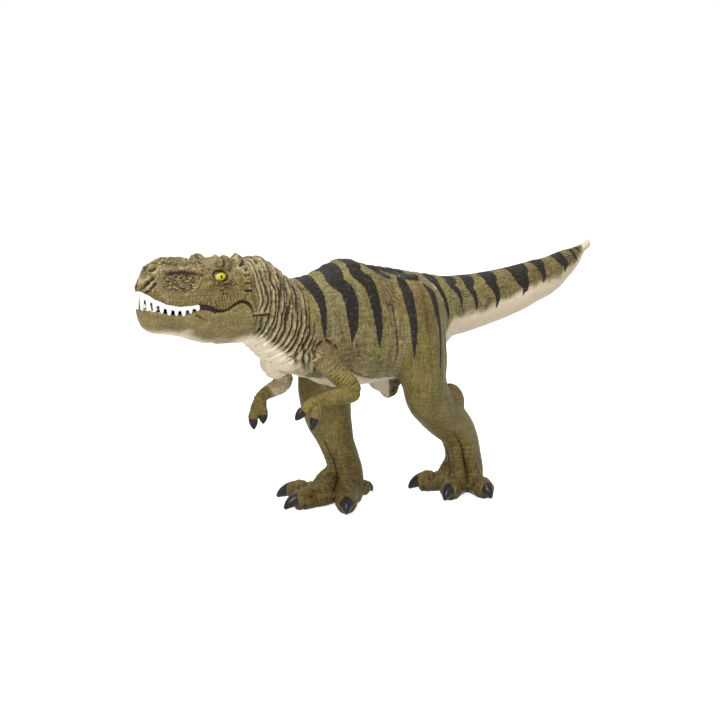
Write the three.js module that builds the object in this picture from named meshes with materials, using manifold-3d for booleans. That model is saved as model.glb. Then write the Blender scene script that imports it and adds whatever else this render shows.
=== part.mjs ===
// A striding two-legged dinosaur figure with an opening lower jaw, in soft plastic.
// Its head, limbs and tail are moulded apart and plugged and glued into the trunk.
// Millimetres, +Z up. The head points towards -X and the left flank towards -Y. The soles stand on Z = 0.
import * as THREE from "three";
import { mergeVertices } from "three/addons/utils/BufferGeometryUtils.js";
import Module from "manifold-3d";

const wasm = await Module();
wasm.setup();

// Driving sizes of the figure
const backHeight = 132; // floor to the top of the back
const trunkLength = 132; // tail seam to neck seam
const trunkDepth = 67;
const trunkWidth = 49;
const tailSeamX = 38; // behind the middle of the stance
const tailLength = 121;
const headLength = 61.2;
const headDepth = 44.5;
const headWidth = 37;
const armLength = 42;
const hingeRadius = 10.3; // round back end of the lower jaw
const toeRadius = 5.7;
const fingerRadius = 2.5;

// Fits between the glued and the moving parts
const seamGap = 0.3;
const runningGap = 0.45;
const overrun = 20; // how far a cutter reaches past what it cuts
const thinnest = 0.2; // least half size of a shrunken ring

// Facets round a skin, and steps between two chosen rows
const bodySides = 22;
const trunkSides = 36;
const limbSides = 14;
const smallSides = 8;
const lumpSides = 12;
const bodySteps = 2;
const trunkSteps = 6;
const limbSteps = 1;

const skinOlive = new THREE.MeshStandardMaterial({ color: "#7d7040", roughness: 0.55, metalness: 0 });
const jawOlive = new THREE.MeshStandardMaterial({ color: "#877a4c", roughness: 0.55, metalness: 0 });
const toothWhite = new THREE.MeshStandardMaterial({ color: "#f2efe6", roughness: 0.35, metalness: 0 });
const eyeYellow = new THREE.MeshStandardMaterial({ color: "#c9b72a", roughness: 0.15, metalness: 0 });
const tonguePink = new THREE.MeshStandardMaterial({ color: "#8e4a44", roughness: 0.4, metalness: 0 });
const pinSteel = new THREE.MeshStandardMaterial({ color: "#b9bcc0", roughness: 0.3, metalness: 1 });

// A signed power, which rounds or squares an ellipse.
function signedPower(value, power) {
  return Math.sign(value) * Math.abs(value) ** power;
}

// A few chosen rows of numbers, drawn through smoothly.
function smoothRows(rows, steps) {
  const last = rows.length - 1;
  const row = (k) => rows[Math.min(Math.max(k, 0), last)];
  return Array.from({ length: last * steps + 1 }, (_, i) => {
    const k = Math.min(Math.floor(i / steps), last - 1);
    const u = i / steps - k;
    return row(k).map((b, n) => {
      const a = row(k - 1)[n];
      const c = row(k + 1)[n];
      const d = row(k + 2)[n];
      const bend = 2 * a - 5 * b + 4 * c - d + (3 * b - a - 3 * c + d) * u;
      return b + ((c - a + bend * u) * u) / 2;
    });
  });
}

// A closed skin over rings of points, with a pole at each end, its faces pointing out.
function skinOver(rings, startPole, endPole) {
  const sides = rings[0].length;
  const points = [...rings.flat(), startPole, endPole];
  const first = points.length - 2;
  const last = points.length - 1;
  const faces = [];
  for (let i = 0; i < sides; i += 1) {
    const j = (i + 1) % sides;
    for (let r = 0; r < rings.length - 1; r += 1) {
      const a = r * sides;
      const b = a + sides;
      faces.push(a + i, a + j, b + j, a + i, b + j, b + i);
    }
    const end = (rings.length - 1) * sides;
    faces.push(first, j, i, last, end + i, end + j);
  }
  const geometry = new THREE.BufferGeometry().setFromPoints(points).setIndex(faces);
  return volumeOf(points, faces) < 0 ? geometry.setIndex(faces.reverse()) : geometry;
}

function volumeOf(points, faces) {
  let six = 0;
  for (let i = 0; i < faces.length; i += 3) {
    const [a, b, c] = [points[faces[i]], points[faces[i + 1]], points[faces[i + 2]]];
    six += a.dot(new THREE.Vector3().crossVectors(b, c));
  }
  return six / 6;
}

function solidOf(geometry) {
  const bare = geometry.clone();
  bare.deleteAttribute("normal");
  bare.deleteAttribute("uv");
  const merged = mergeVertices(bare);
  const vertProperties = Float32Array.from(merged.attributes.position.array);
  const triVerts = Uint32Array.from(merged.index.array);
  return new wasm.Manifold(new wasm.Mesh({ numProp: 3, vertProperties, triVerts }));
}

function joined(...solids) {
  return solids.reduce((sum, solid) => sum.add(solid));
}

// The largest of the bodies that a cut leaves, without the slivers beside it.
function largestOf(solid) {
  return solid.decompose().sort((a, b) => b.volume() - a.volume())[0];
}

// A named mesh of a solid, placed at its own reference point.
function meshOf(name, solid, material, place = new THREE.Vector3()) {
  const { vertProperties, triVerts } = largestOf(solid).getMesh();
  const geometry = new THREE.BufferGeometry();
  geometry.setAttribute("position", new THREE.BufferAttribute(Float32Array.from(vertProperties), 3));
  geometry.setIndex(new THREE.BufferAttribute(Uint32Array.from(triVerts), 1));
  geometry.translate(-place.x, -place.y, -place.z);
  geometry.computeVertexNormals();
  const mesh = new THREE.Mesh(geometry, material);
  mesh.name = name;
  mesh.position.copy(place);
  return mesh;
}

// Body rows hold x, y, top, widest height, bottom and half width.
const X = 0;
const Y = 1;
const TOP = 2;
const WIDE = 3;
const BOTTOM = 4;
const HALF = 5;

// An upright ring across the body. The powers square its upper and lower halves.
function bodyRing(row, [upperPower, lowerPower], grow, sides) {
  return Array.from({ length: sides }, (_, i) => {
    const turn = (2 * Math.PI * i) / sides;
    const power = Math.sin(turn) < 0 ? lowerPower : upperPower;
    const side = signedPower(Math.cos(turn), 2 / power);
    const rise = signedPower(Math.sin(turn), 2 / power);
    const reach = rise < 0 ? row[WIDE] - row[BOTTOM] : row[TOP] - row[WIDE];
    const half = Math.max(row[HALF] + grow, thinnest);
    return new THREE.Vector3(row[X], row[Y] + side * half, row[WIDE] + rise * Math.max(reach + grow, thinnest));
  });
}

const ringMiddle = (ring) =>
  ring.reduce((sum, point) => sum.add(point), new THREE.Vector3()).divideScalar(ring.length);

function bodySkin(rows, powers, grow = 0, noseX = null) {
  const rings = smoothRows(rows, bodySteps).map((row) => bodyRing(row, powers, grow, bodySides));
  const end = ringMiddle(rings.at(-1));
  if (noseX !== null) end.x = noseX;
  return solidOf(skinOver(rings, ringMiddle(rings[0]), end));
}

// A ring's points moved out along the bare ring's normal, by what the relief gives at each bare point.
function raisedRing(ring, bare, relief) {
  return ring.map((point, i) => {
    const ahead = bare[(i + 1) % bare.length];
    const behind = bare[(i + bare.length - 1) % bare.length];
    const out = new THREE.Vector3(0, ahead.z - behind.z, behind.y - ahead.y).normalize();
    return point.clone().addScaledVector(out, relief(bare[i]));
  });
}

// A round limb along a path. Each row is x, y, z, half depth and half width, and the ends are domed.
function limb(rows, sides = limbSides, steps = limbSteps, [startDome, endDome] = [0.5, 0.5]) {
  const path = smoothRows(rows, steps);
  const at = path.map(([x, y, z]) => new THREE.Vector3(x, y, z));
  const along = at.map((_, i) => {
    const ahead = at[Math.min(i + 1, at.length - 1)];
    return ahead.clone().sub(at[Math.max(i - 1, 0)]).normalize();
  });
  const rings = path.map((row, i) => {
    const across = new THREE.Vector3(0, 1, 0);
    across.addScaledVector(along[i], -across.dot(along[i])).normalize();
    const deep = new THREE.Vector3().crossVectors(across, along[i]);
    return Array.from({ length: sides }, (_, n) => {
      const turn = (2 * Math.PI * n) / sides;
      return at[i]
        .clone()
        .addScaledVector(deep, Math.cos(turn) * row[3])
        .addScaledVector(across, Math.sin(turn) * row[4]);
    });
  });
  const start = at[0].clone().addScaledVector(along[0], -startDome * path[0][3]);
  const end = at.at(-1).clone().addScaledVector(along.at(-1), endDome * path.at(-1)[3]);
  return solidOf(skinOver(rings, start, end));
}

// A smooth lump, such as a horn, a muscle or a lid.
function lump(at, radii) {
  const ball = new THREE.SphereGeometry(1, lumpSides, lumpSides / 2);
  return solidOf(ball.scale(...radii).translate(at.x, at.y, at.z));
}

function rodAlongY(at, radius, fromY, toY, sides = limbSides) {
  const rod = new THREE.CylinderGeometry(radius, radius, toY - fromY, sides);
  return solidOf(rod.translate(at.x, (fromY + toY) / 2, at.z));
}

function rodAlongX(at, radius, tipRadius, length) {
  const rod = new THREE.CylinderGeometry(tipRadius, radius, length, limbSides);
  return solidOf(rod.rotateZ(Math.PI / 2).translate(at.x - length / 2, at.y, at.z));
}

// A side outline in X and Z, cut or kept across the body from one Y to another.
function sideSlab(outline, fromY, toY) {
  const shape = new THREE.Shape(outline.map(([x, z]) => new THREE.Vector2(x, z)));
  const slab = new THREE.ExtrudeGeometry(shape, { depth: toY - fromY, bevelEnabled: false });
  return solidOf(slab.rotateX(Math.PI / 2).translate(0, toY, 0));
}

function arcPoints(centre, radius, fromDegrees, toDegrees, steps = 8) {
  return Array.from({ length: steps + 1 }, (_, i) => {
    const turn = THREE.MathUtils.degToRad(fromDegrees + ((toDegrees - fromDegrees) * i) / steps);
    return [centre.x + radius * Math.cos(turn), centre.z + radius * Math.sin(turn)];
  });
}

// Trunk with the neck, from the tail seam to the neck seam: station, then top, widest height
// and bottom as drops from the back, and width
const trunkShares = [
  [0, 0.224, 0.463, 0.731, 0.63],
  [0.076, 0.197, 0.478, 0.836, 0.755],
  [0.159, 0.167, 0.507, 0.933, 0.857],
  [0.288, 0.115, 0.552, 0.993, 0.94],
  [0.417, 0.048, 0.597, 1.006, 0.99],
  [0.515, 0.004, 0.627, 1, 1],
  [0.591, 0.025, 0.627, 0.97, 0.97],
  [0.682, 0.081, 0.612, 0.918, 0.9],
  [0.78, 0.119, 0.567, 0.851, 0.81],
  [0.828, 0.079, 0.518, 0.806, 0.774],
  [0.879, -0.007, 0.463, 0.754, 0.745],
  [0.939, -0.072, 0.373, 0.657, 0.72],
  [1, -0.064, 0.3, 0.567, 0.71],
];
const trunkPowers = [1.9, 2.1];
const trunkRows = trunkShares.map(([station, top, wide, bottom, width]) => [
  tailSeamX - station * trunkLength,
  0,
  backHeight - top * trunkDepth,
  backHeight - wide * trunkDepth,
  backHeight - bottom * trunkDepth,
  (width * trunkWidth) / 2,
]);
const tailSeam = trunkRows[0];
const neckSeam = trunkRows.at(-1);

// What stands on the trunk's skin or is sunk in it, as lines in the side view: station and drop
const trunkX = (station) => tailSeamX - station * trunkLength;
const trunkZ = (drop) => backHeight - drop * trunkDepth;
const trunkLine = (shares) => shares.map(([station, drop]) => [trunkX(station), trunkZ(drop)]);
const crestShares = [
  [0.561, 0.015],
  [0.477, 0.06],
  [0.428, 0.142],
  [0.338, 0.176],
  [0.228, 0.218],
  [0.163, 0.26],
  [0.144, 0.345],
  [0.137, 0.476],
  [0.121, 0.57],
];
const thighCreaseShares = [
  [0.405, 0.284],
  [0.407, 0.443],
  [0.398, 0.597],
  [0.392, 0.721],
  [0.385, 0.836],
];
const crestLine = trunkLine(crestShares);
const thighCrease = trunkLine(thighCreaseShares);
const foldSpacing = 5; // folds round the neck
const foldHeight = 0.5;
const foldLean = 0.461 * trunkDepth;
const foldFoot = trunkX(0.75);
const foldRoot = trunkX(0.82);
const seamFade = 4; // plain skin beside the neck seam
const crestHeight = 1;
const crestWidth = 1.7;
const hollowDepth = 0.9; // sunk skin over the crest
const hollowWidth = 3;
const hollowOffset = 4;
const creaseDepth = 0.9;
const creaseWidth = 1.2;
const shoulderSwell = 0.8;
const shoulderReach = 9;
const shoulderAt = [trunkX(0.738), trunkZ(0.688)];
const spineHalf = 3; // half width of the back left without crest and creases

const bell = (value, width) => Math.exp(-((value / width) ** 2));
const { smoothstep } = THREE.MathUtils;

// The distance in the side view from a place to a line, and the share of the line's points passed.
function lineDistance(x, z, line) {
  let nearest = { far: Infinity, share: 0 };
  for (let k = 0; k < line.length - 1; k += 1) {
    const [[fromX, fromZ], [toX, toZ]] = [line[k], line[k + 1]];
    const [alongX, alongZ] = [toX - fromX, toZ - fromZ];
    const reached = ((x - fromX) * alongX + (z - fromZ) * alongZ) / (alongX ** 2 + alongZ ** 2);
    const u = THREE.MathUtils.clamp(reached, 0, 1);
    const far = Math.hypot(x - fromX - u * alongX, z - fromZ - u * alongZ);
    if (far < nearest.far) nearest = { far, share: (k + u) / (line.length - 1) };
  }
  return nearest;
}

// Folds round the neck, the crest of the hips with the hollow over it, the crease before the thigh
// and the swelling of the shoulder.
function trunkRelief({ x, y, z }) {
  const side = smoothstep(Math.abs(y), spineHalf, 2 * spineHalf);
  const lean = foldLean * Math.max((trunkZ(0.149) - z) / trunkDepth, 0) ** 1.6;
  const neck = smoothstep(x, neckSeam[X], neckSeam[X] + seamFade) * (1 - smoothstep(x, foldRoot, foldFoot));
  const folds = foldHeight * neck * Math.cos((2 * Math.PI * (x + lean)) / foldSpacing);
  const crest = lineDistance(x, z, crestLine);
  const ends = smoothstep(crest.share, 0, 0.12) * (1 - smoothstep(crest.share, 0.8, 1));
  const under = crestLine.findLast(([lineX]) => lineX <= Math.max(x, crestLine[0][X]));
  const over = z > under[1] ? 1 : 0;
  const hollow = over * hollowDepth * bell(crest.far - hollowOffset, hollowWidth);
  const hips = ends * (crestHeight * bell(crest.far, crestWidth) - hollow);
  const crease = creaseDepth * bell(lineDistance(x, z, thighCrease).far, creaseWidth);
  const shoulder = shoulderSwell * bell(Math.hypot(x - shoulderAt[0], z - shoulderAt[1]), shoulderReach);
  return folds + side * (hips - crease + shoulder);
}

function trunkForm(grow = 0) {
  const rings = smoothRows(trunkRows, trunkSteps).map((row) =>
    raisedRing(
      bodyRing(row, trunkPowers, grow, trunkSides),
      bodyRing(row, trunkPowers, 0, trunkSides),
      trunkRelief,
    ),
  );
  return solidOf(skinOver(rings, ringMiddle(rings[0]), ringMiddle(rings.at(-1))));
}

// Head with the mouth shut, from the neck seam to the snout: station, then top, widest height
// and bottom as drops from the nape, and width
const headShares = [
  [0.098, -0.029, 0.546, 0.939, 0.984],
  [0.196, -0.052, 0.569, 0.928, 1],
  [0.294, -0.061, 0.569, 0.921, 0.962],
  [0.392, -0.043, 0.546, 0.906, 0.876],
  [0.49, -0.034, 0.524, 0.865, 0.789],
  [0.605, -0.056, 0.479, 0.809, 0.724],
  [0.724, -0.076, 0.434, 0.766, 0.67],
  [0.822, -0.052, 0.4, 0.744, 0.605],
  [0.892, 0.016, 0.378, 0.721, 0.508],
  [0.953, 0.119, 0.366, 0.658, 0.368],
  [0.988, 0.22, 0.378, 0.546, 0.195],
];
const headPowers = [2.5, 2.2];
const headX = (station) => neckSeam[X] - station * headLength;
const headZ = (drop) => neckSeam[TOP] - drop * headDepth;
const headRow = ([station, top, wide, bottom, width]) => [
  headX(station),
  0,
  headZ(top),
  headZ(wide),
  headZ(bottom),
  (width * headWidth) / 2,
];
const headRows = [[neckSeam[X] - seamGap, ...neckSeam.slice(Y)], ...headShares.map(headRow)];

function headForm(grow = 0) {
  return bodySkin(headRows, headPowers, grow, headX(1) - grow);
}

// The half width of the shut head at a place of its side view.
function headHalfWidth(x, z) {
  const rows = smoothRows(headRows, bodySteps);
  const k = Math.max(1, rows.findIndex((row) => row[X] < x));
  const u = (x - rows[k - 1][X]) / (rows[k][X] - rows[k - 1][X]);
  const row = rows[k].map((value, n) => THREE.MathUtils.lerp(rows[k - 1][n], value, u));
  const above = z > row[WIDE];
  const power = above ? headPowers[0] : headPowers[1];
  const reach = above ? row[TOP] - row[WIDE] : row[WIDE] - row[BOTTOM];
  const rise = Math.min(Math.abs(z - row[WIDE]) / reach, 1);
  return row[HALF] * (1 - rise ** power) ** (1 / power);
}

// Jaw hinge, with the line of the upper lip and the rim of the lower jaw, from the snout back
const hinge = new THREE.Vector3(headX(0.271), 0, headZ(0.638));
const lipShares = [
  [1, 0.252],
  [0.951, 0.298],
  [0.918, 0.338],
  [0.843, 0.396],
  [0.742, 0.43],
  [0.635, 0.431],
  [0.573, 0.421],
  [0.539, 0.417],
];
const rimShares = [
  [1, 0.455],
  [0.951, 0.464],
  [0.868, 0.492],
  [0.784, 0.518],
  [0.695, 0.527],
  [0.635, 0.513],
  [0.573, 0.485],
  [0.539, 0.476],
];
const lipCornerShares = [[0.49, 0.434], [0.441, 0.463]];
const rimCornerShares = [[0.482, 0.494], [0.433, 0.524]];
const sideView = (shares) => shares.map(([station, drop]) => [headX(station), headZ(drop)]);
const lipLine = sideView(lipShares);
const rimLine = sideView(rimShares);
const heightOn = (line, x) => {
  const k = Math.max(1, line.findIndex((point) => point[0] > x));
  const u = (x - line[k - 1][0]) / (line[k][0] - line[k - 1][0]);
  return THREE.MathUtils.lerp(line[k - 1][1], line[k][1], u);
};

const coreHalf = 0.22 * headWidth; // block between the jaw's arms, which holds the pin
const coreRadius = hingeRadius * 1.14;
const recessRadius = hingeRadius * 1.25; // where the jaw's heel swings back as it opens
const pinRadius = 1.5;
const pinReach = 0.44 * headWidth;
const floorZ = headZ(1) - overrun;
const frontX = headX(1) - overrun;
const backX = neckSeam[X] + overrun;
const wideY = headWidth;

// What the mouth and the jaw take out of the head: all the width in front, and beside the core at the hinge.
function mouthCut() {
  const gape = [
    [frontX, lipLine[0][1]],
    ...lipLine,
    ...sideView(lipCornerShares),
    ...arcPoints(hinge, coreRadius, 150, 262),
    [hinge.x - 0.4 * coreRadius, floorZ],
    [frontX, floorZ],
  ];
  const beside = [
    ...arcPoints(hinge, hingeRadius + runningGap, 142, -30, 14),
    ...arcPoints(hinge, recessRadius + runningGap, -30, -98),
    [hinge.x - 0.4 * coreRadius, floorZ],
    [headX(0.627), floorZ],
    [headX(0.627), headZ(0.54)],
    ...sideView(lipCornerShares).slice(1),
  ];
  return joined(
    sideSlab(gape, -wideY, wideY),
    sideSlab(beside, -wideY, -coreHalf),
    sideSlab(beside, coreHalf, wideY),
  );
}

const mouthWall = 4.8; // thickness of the lips and of the jaw's sides
const palateRise = 2.3;

function palate() {
  const raised = lipLine.slice(1).map(([x, z]) => [x, z + palateRise]);
  const band = [...raised, [raised.at(-1)[0], floorZ], [raised[0][0], floorZ]];
  return headForm(-mouthWall).intersect(sideSlab(band, -wideY, wideY));
}

const pathSteps = 60;

// Row of teeth: a band in the gum with a tooth at every step, along the lip or the rim.
function toothPath(line, inset, count) {
  const corner = line.at(-1)[0] - inset / 2;
  const front = headX(1) + inset;
  const side = Array.from({ length: pathSteps }, (_, i) => {
    const x = front + (corner - front) * (i / (pathSteps - 1)) ** 2;
    const z = heightOn(line, Math.max(x, line[0][0]));
    const y = i === 0 ? 0 : Math.max(headHalfWidth(Math.max(x - inset * 0.6, headX(0.985)), z) - inset * 0.8, 0);
    return new THREE.Vector3(x, y, z);
  });
  const mirrored = side.slice(1).map((p) => new THREE.Vector3(p.x, -p.y, p.z));
  const curve = new THREE.CatmullRomCurve3([...mirrored.reverse(), ...side]);
  return Array.from({ length: count }, (_, i) => {
    const at = curve.getPointAt(i / (count - 1));
    const along = curve.getTangentAt(i / (count - 1)).setZ(0).normalize();
    return { at, out: new THREE.Vector3(along.y, -along.x, 0) };
  });
}

function toothBand(places, thickness, up, down) {
  const rings = places.map(({ at, out }) => {
    const corner = (side, z) => at.clone().addScaledVector(out, (side * thickness) / 2).setZ(z);
    const [high, low] = [up(at), down(at)];
    return [corner(-1, low), corner(1, low), corner(1, high), corner(-1, high)];
  });
  const middle = (ring) => ring.reduce((sum, p) => sum.add(p), new THREE.Vector3()).divideScalar(4);
  return solidOf(skinOver(rings, middle(rings[0]), middle(rings.at(-1))));
}

function tooth(at, rootZ, tipZ, radius) {
  const middleZ = THREE.MathUtils.lerp(rootZ, tipZ, 0.55);
  const rows = [
    [at.x, at.y, rootZ, radius, radius],
    [at.x, at.y, middleZ, radius * 0.92, radius * 0.92],
    [at.x, at.y, tipZ, radius * 0.3, radius * 0.3],
  ];
  return limb(rows, toothSides, 1, [0, 0.3]);
}

const upperInset = 1.5; // lip surface to the middle of the upper row
const lowerInset = 4.1;
const bandThickness = 1.7;
const lowerBandThickness = 1.5;
const toothCount = 26;
const lowerToothCount = 16;
const toothSize = 1;
const lowerToothSize = 0.8;
const toothSides = 4;
const bandSteps = 23;
const gumCover = 0.75; // lip left outside the roots of the upper row
const biteGap = 0.5; // tooth tips to the rim of the lower jaw
const rootDepth = 1.4;
const lowerGumRise = 0.6;
const lowerToothRise = 3.2;
const grooveMouth = 2; // how far a groove opens past the edge of its gum

function upperTeeth() {
  const rim = (p) => heightOn(rimLine, Math.max(p.x, rimLine[0][0]));
  const gum = (p) => THREE.MathUtils.lerp(p.z, rim(p), 0.4);
  const root = toothBand(toothPath(lipLine, upperInset, bandSteps), bandThickness, (p) => p.z + rootDepth, gum);
  const places = toothPath(lipLine, upperInset, toothCount + 2).slice(1, -1);
  const teeth = places.map(({ at }) => tooth(at, gum(at) + rootDepth / 2, rim(at) + biteGap, toothSize));
  return joined(root.intersect(headForm(-gumCover)), ...teeth);
}

function lowerTeeth() {
  const lip = (p) => heightOn(lipLine, Math.max(p.x, lipLine[0][0]));
  const gum = (p) => p.z + lowerGumRise;
  const root = (p) => p.z - rootDepth;
  const top = (p) => Math.min(lip(p) - biteGap, p.z + lowerToothRise);
  const band = toothBand(toothPath(rimLine, lowerInset, bandSteps), lowerBandThickness, gum, root);
  const places = toothPath(rimLine, lowerInset, lowerToothCount + 2).slice(1, -1);
  const teeth = places.map(({ at }) => tooth(at, gum(at) - rootDepth / 2, top(at), lowerToothSize));
  return joined(band, ...teeth);
}

// The same band, a glue gap larger, cut from the piece that carries it
function bandGroove(line, inset, thickness, up, down) {
  return toothBand(toothPath(line, inset, bandSteps), thickness + 2 * seamGap, (p) => p.z + up, (p) => p.z - down);
}

// Eyes in their sockets, under brow horns
const eyeRadius = 3.2;
const eyeX = headX(0.372);
const eyeZ = headZ(0.133);
const eyeY = headHalfWidth(eyeX, eyeZ) - eyeRadius * 0.45;
const hornRadii = [4.6, 3.2, 3.6];
const rearHornRadii = [3.6, 2.8, 2.6];
const browY = 0.33 * headWidth;
const browTilt = 0.02 * headDepth; // how much higher the left brow stands than the middle

function browParts(side) {
  const horn = new THREE.Vector3(headX(0.33), side * browY, headZ(-0.013) - side * browTilt);
  const rearHorn = new THREE.Vector3(headX(0.175), side * browY * 0.72, headZ(-0.01) - side * browTilt);
  const lid = new THREE.Vector3(eyeX, side * (eyeY - eyeRadius / 4), eyeZ);
  return [
    lump(horn, hornRadii),
    lump(rearHorn, rearHornRadii),
    lump(lid, [eyeRadius * 1.6, eyeRadius * 1.05, eyeRadius * 1.45]),
  ];
}

// Forms on the side of the head: station and drop of the middle, half length and half height
// as shares of the head, and how far each stands out or is sunk
const patchCore = 2.6;
const patchShares = [-0.96, -0.72, -0.38, 0, 0.38, 0.72, 0.96];
const hollowRim = { atShares: [0.698, 0.164], halfShares: [0.185, 0.15], rise: 0.6 };
const sideHollow = { atShares: [0.698, 0.164], halfShares: [0.152, 0.112], rise: -1 };
const browRidge = { atShares: [0.655, 0.052], halfShares: [0.24, 0.045], rise: 0.9 };
const cheekForm = { atShares: [0.335, 0.375], halfShares: [0.135, 0.16], rise: 0.9 };

function skinPatch(side, { atShares: [station, drop], halfShares: [length, height], rise }) {
  const z = headZ(drop);
  const rows = patchShares.map((share) => {
    const size = Math.sqrt(1 - share ** 2);
    const x = headX(station - share * length);
    const inset = size * (rise < 0 ? patchCore + rise : rise - patchCore);
    const y = headHalfWidth(x, z) + inset;
    return [x, side * y, z, height * headDepth * size, patchCore * size];
  });
  return limb(rows, limbSides, 1, [0.1, 0.1]);
}

const templeShares = [
  [0.176, 0.015],
  [0.145, 0.067],
  [0.124, 0.125],
  [0.131, 0.229],
  [0.134, 0.31],
  [0.108, 0.397],
];
const templeRadius = 1.6; // rear rim of the skull, half sunk in the skin

function templeRim(side) {
  const rows = sideView(templeShares).map(([x, z]) => {
    const y = headHalfWidth(x, z) - templeRadius * 0.4;
    return [x, side * y, z, templeRadius, templeRadius];
  });
  return limb(rows, smallSides);
}

const headFormsOn = (side) => [
  skinPatch(side, hollowRim),
  skinPatch(side, browRidge),
  skinPatch(side, cheekForm),
  templeRim(side),
];

const eyeAt = (side) => new THREE.Vector3(eyeX, side * eyeY, eyeZ);
const eyeBall = (side, grow = 0) => lump(eyeAt(side), [eyeRadius + grow, eyeRadius + grow, eyeRadius + grow]);

// Plugs that stand out of one part and sit in its neighbour
const plugRoot = 2; // how deep a plug is rooted in the part that it stands on
const neckPlug = { radius: 8.5, tip: 7.5, length: 11 };
const tailPlug = { radius: 8.5, tip: 7.5, length: 12 };
const hipPlug = { radius: 5, reach: 7 };
const shoulderPlug = { radius: 2.6, reach: 5 };

function neckPlugSolid(grow = 0) {
  const at = new THREE.Vector3(neckSeam[X] + neckPlug.length + grow, 0, neckSeam[WIDE]);
  const length = neckPlug.length + grow + plugRoot;
  return rodAlongX(at, neckPlug.tip + grow, neckPlug.radius + grow, length);
}

function tailPlugSolid(grow = 0) {
  const middle = (tailSeam[TOP] + tailSeam[BOTTOM]) / 2;
  const at = new THREE.Vector3(tailSeam[X] + plugRoot, 0, middle);
  return rodAlongX(at, tailPlug.radius + grow, tailPlug.tip + grow, tailPlug.length + grow + plugRoot);
}

// Legs: backward as a share of the stride's reach, then outward, up, half depth and half width
// as shares of the hip's height
const hipX = tailSeamX - 0.273 * trunkLength;
const hipHeight = backHeight - 0.478 * trunkDepth;
const hipOut = 0.347 * trunkWidth;
const strideReach = 0.75738 * trunkLength; // what the legs' steps fore and aft are shares of
const leftLegShares = [
  [-0.01, -0.03, 1.16, 0.09, 0.05],
  [0, -0.005, 1.1, 0.13, 0.08],
  [0.01, 0.015, 1, 0.145, 0.1],
  [0.03, 0.025, 0.88, 0.14, 0.11],
  [0.04, 0.035, 0.76, 0.135, 0.11],
  [0.045, 0.04, 0.66, 0.125, 0.105],
  [0.07, 0.04, 0.575, 0.125, 0.1],
  [0.14, 0.025, 0.5, 0.12, 0.095],
  [0.23, 0.01, 0.425, 0.115, 0.09],
  [0.31, -0.01, 0.36, 0.105, 0.085],
  [0.365, -0.025, 0.28, 0.1, 0.083],
  [0.389, -0.03, 0.2, 0.1, 0.082],
  [0.4, -0.03, 0.12, 0.103, 0.086],
  [0.403, -0.03, 0.03, 0.1, 0.09],
];
const rightLegShares = [
  [-0.01, -0.04, 1.14, 0.09, 0.05],
  [-0.03, -0.01, 1.07, 0.135, 0.08],
  [-0.09, 0.005, 0.96, 0.16, 0.1],
  [-0.17, 0.005, 0.85, 0.165, 0.105],
  [-0.26, -0.01, 0.75, 0.165, 0.105],
  [-0.325, -0.025, 0.66, 0.16, 0.105],
  [-0.35, -0.04, 0.57, 0.155, 0.103],
  [-0.34, -0.05, 0.47, 0.135, 0.1],
  [-0.32, -0.065, 0.385, 0.113, 0.094],
  [-0.3, -0.078, 0.31, 0.095, 0.087],
  [-0.275, -0.09, 0.24, 0.089, 0.085],
  [-0.266, -0.1, 0.17, 0.096, 0.088],
  [-0.27, -0.11, 0.1, 0.1, 0.09],
  [-0.276, -0.12, 0.03, 0.1, 0.09],
];
// Each toe turns from straight ahead, outward positive, and has a length as a share of the hip's height
const leftToes = [
  { turn: -33, length: 0.275 },
  { turn: 33, length: 0.285 },
  { turn: 76, length: 0.255 },
];
const rightToes = [
  { turn: 46, length: 0.335 },
  { turn: 4, length: 0.34 },
  { turn: -53, length: 0.285 },
];
const leftSpur = { turn: -150, length: 0.12 };
const rightSpur = { turn: -168, length: 0.11 };
// Toe and claw: along the toe, lift and radius, as shares of the toe's own length and radius
const toeShares = [
  [-0.1, 1.6, 1.25],
  [0.15, 1.4, 1.2],
  [0.4, 1.05, 1.1],
  [0.62, 0.88, 0.96],
  [0.8, 0.9, 1.04],
  [0.9, 0.88, 0.8],
];
const clawShares = [
  [0.78, 1.1, 0.5],
  [0.96, 1, 0.44],
  [1.06, 0.7, 0.32],
  [1.12, 0.36, 0.16],
];
const spurLift = 0.5;

function toeRows(shares, base, side, { turn, length }, radius, lift = 0) {
  const angle = THREE.MathUtils.degToRad(turn);
  const reach = length * hipHeight;
  return shares.map(([along, rise, size]) => [
    base.x - Math.cos(angle) * along * reach,
    base.y + side * Math.sin(angle) * along * reach,
    rise * radius + lift,
    size * radius,
    size * radius,
  ]);
}

function legForm(side, shares, toes, spur, calf) {
  const rows = shares.map(([back, out, up, deep, across]) => [
    hipX + back * strideReach,
    side * (hipOut + out * hipHeight),
    up * hipHeight,
    deep * hipHeight,
    across * hipHeight,
  ]);
  const foot = new THREE.Vector3(...rows.at(-1));
  const digits = toes.flatMap((toe) => [
    limb(toeRows(toeShares, foot, side, toe, toeRadius), smallSides, limbSteps, [0.3, 0.3]),
    limb(toeRows(clawShares, foot, side, toe, toeRadius), 8, limbSteps, [0.3, 0.8]),
  ]);
  const spurRadius = toeRadius * 0.6;
  const spurParts = [toeShares, clawShares].map((part) =>
    limb(toeRows(part, foot, side, spur, spurRadius, spurLift * toeRadius), 8, 1, [0.3, 0.8]),
  );
  return joined(limb(rows, limbSides, limbSteps, [0.5, 0.8]), ...digits, ...spurParts, ...calf);
}

const soleTrim = solidOf(
  new THREE.BoxGeometry(4 * trunkLength, 4 * trunkLength, overrun).translate(0, 0, -overrun / 2),
);

function hipPlugSolid(side, grow = 0) {
  const outer = hipOut + 0.04 * hipHeight;
  const inner = hipOut - hipPlug.reach;
  const at = new THREE.Vector3(hipX, 0, hipHeight);
  const ends = side < 0 ? [-outer, -inner + grow] : [inner - grow, outer];
  return rodAlongY(at, hipPlug.radius + grow, ...ends);
}

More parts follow.
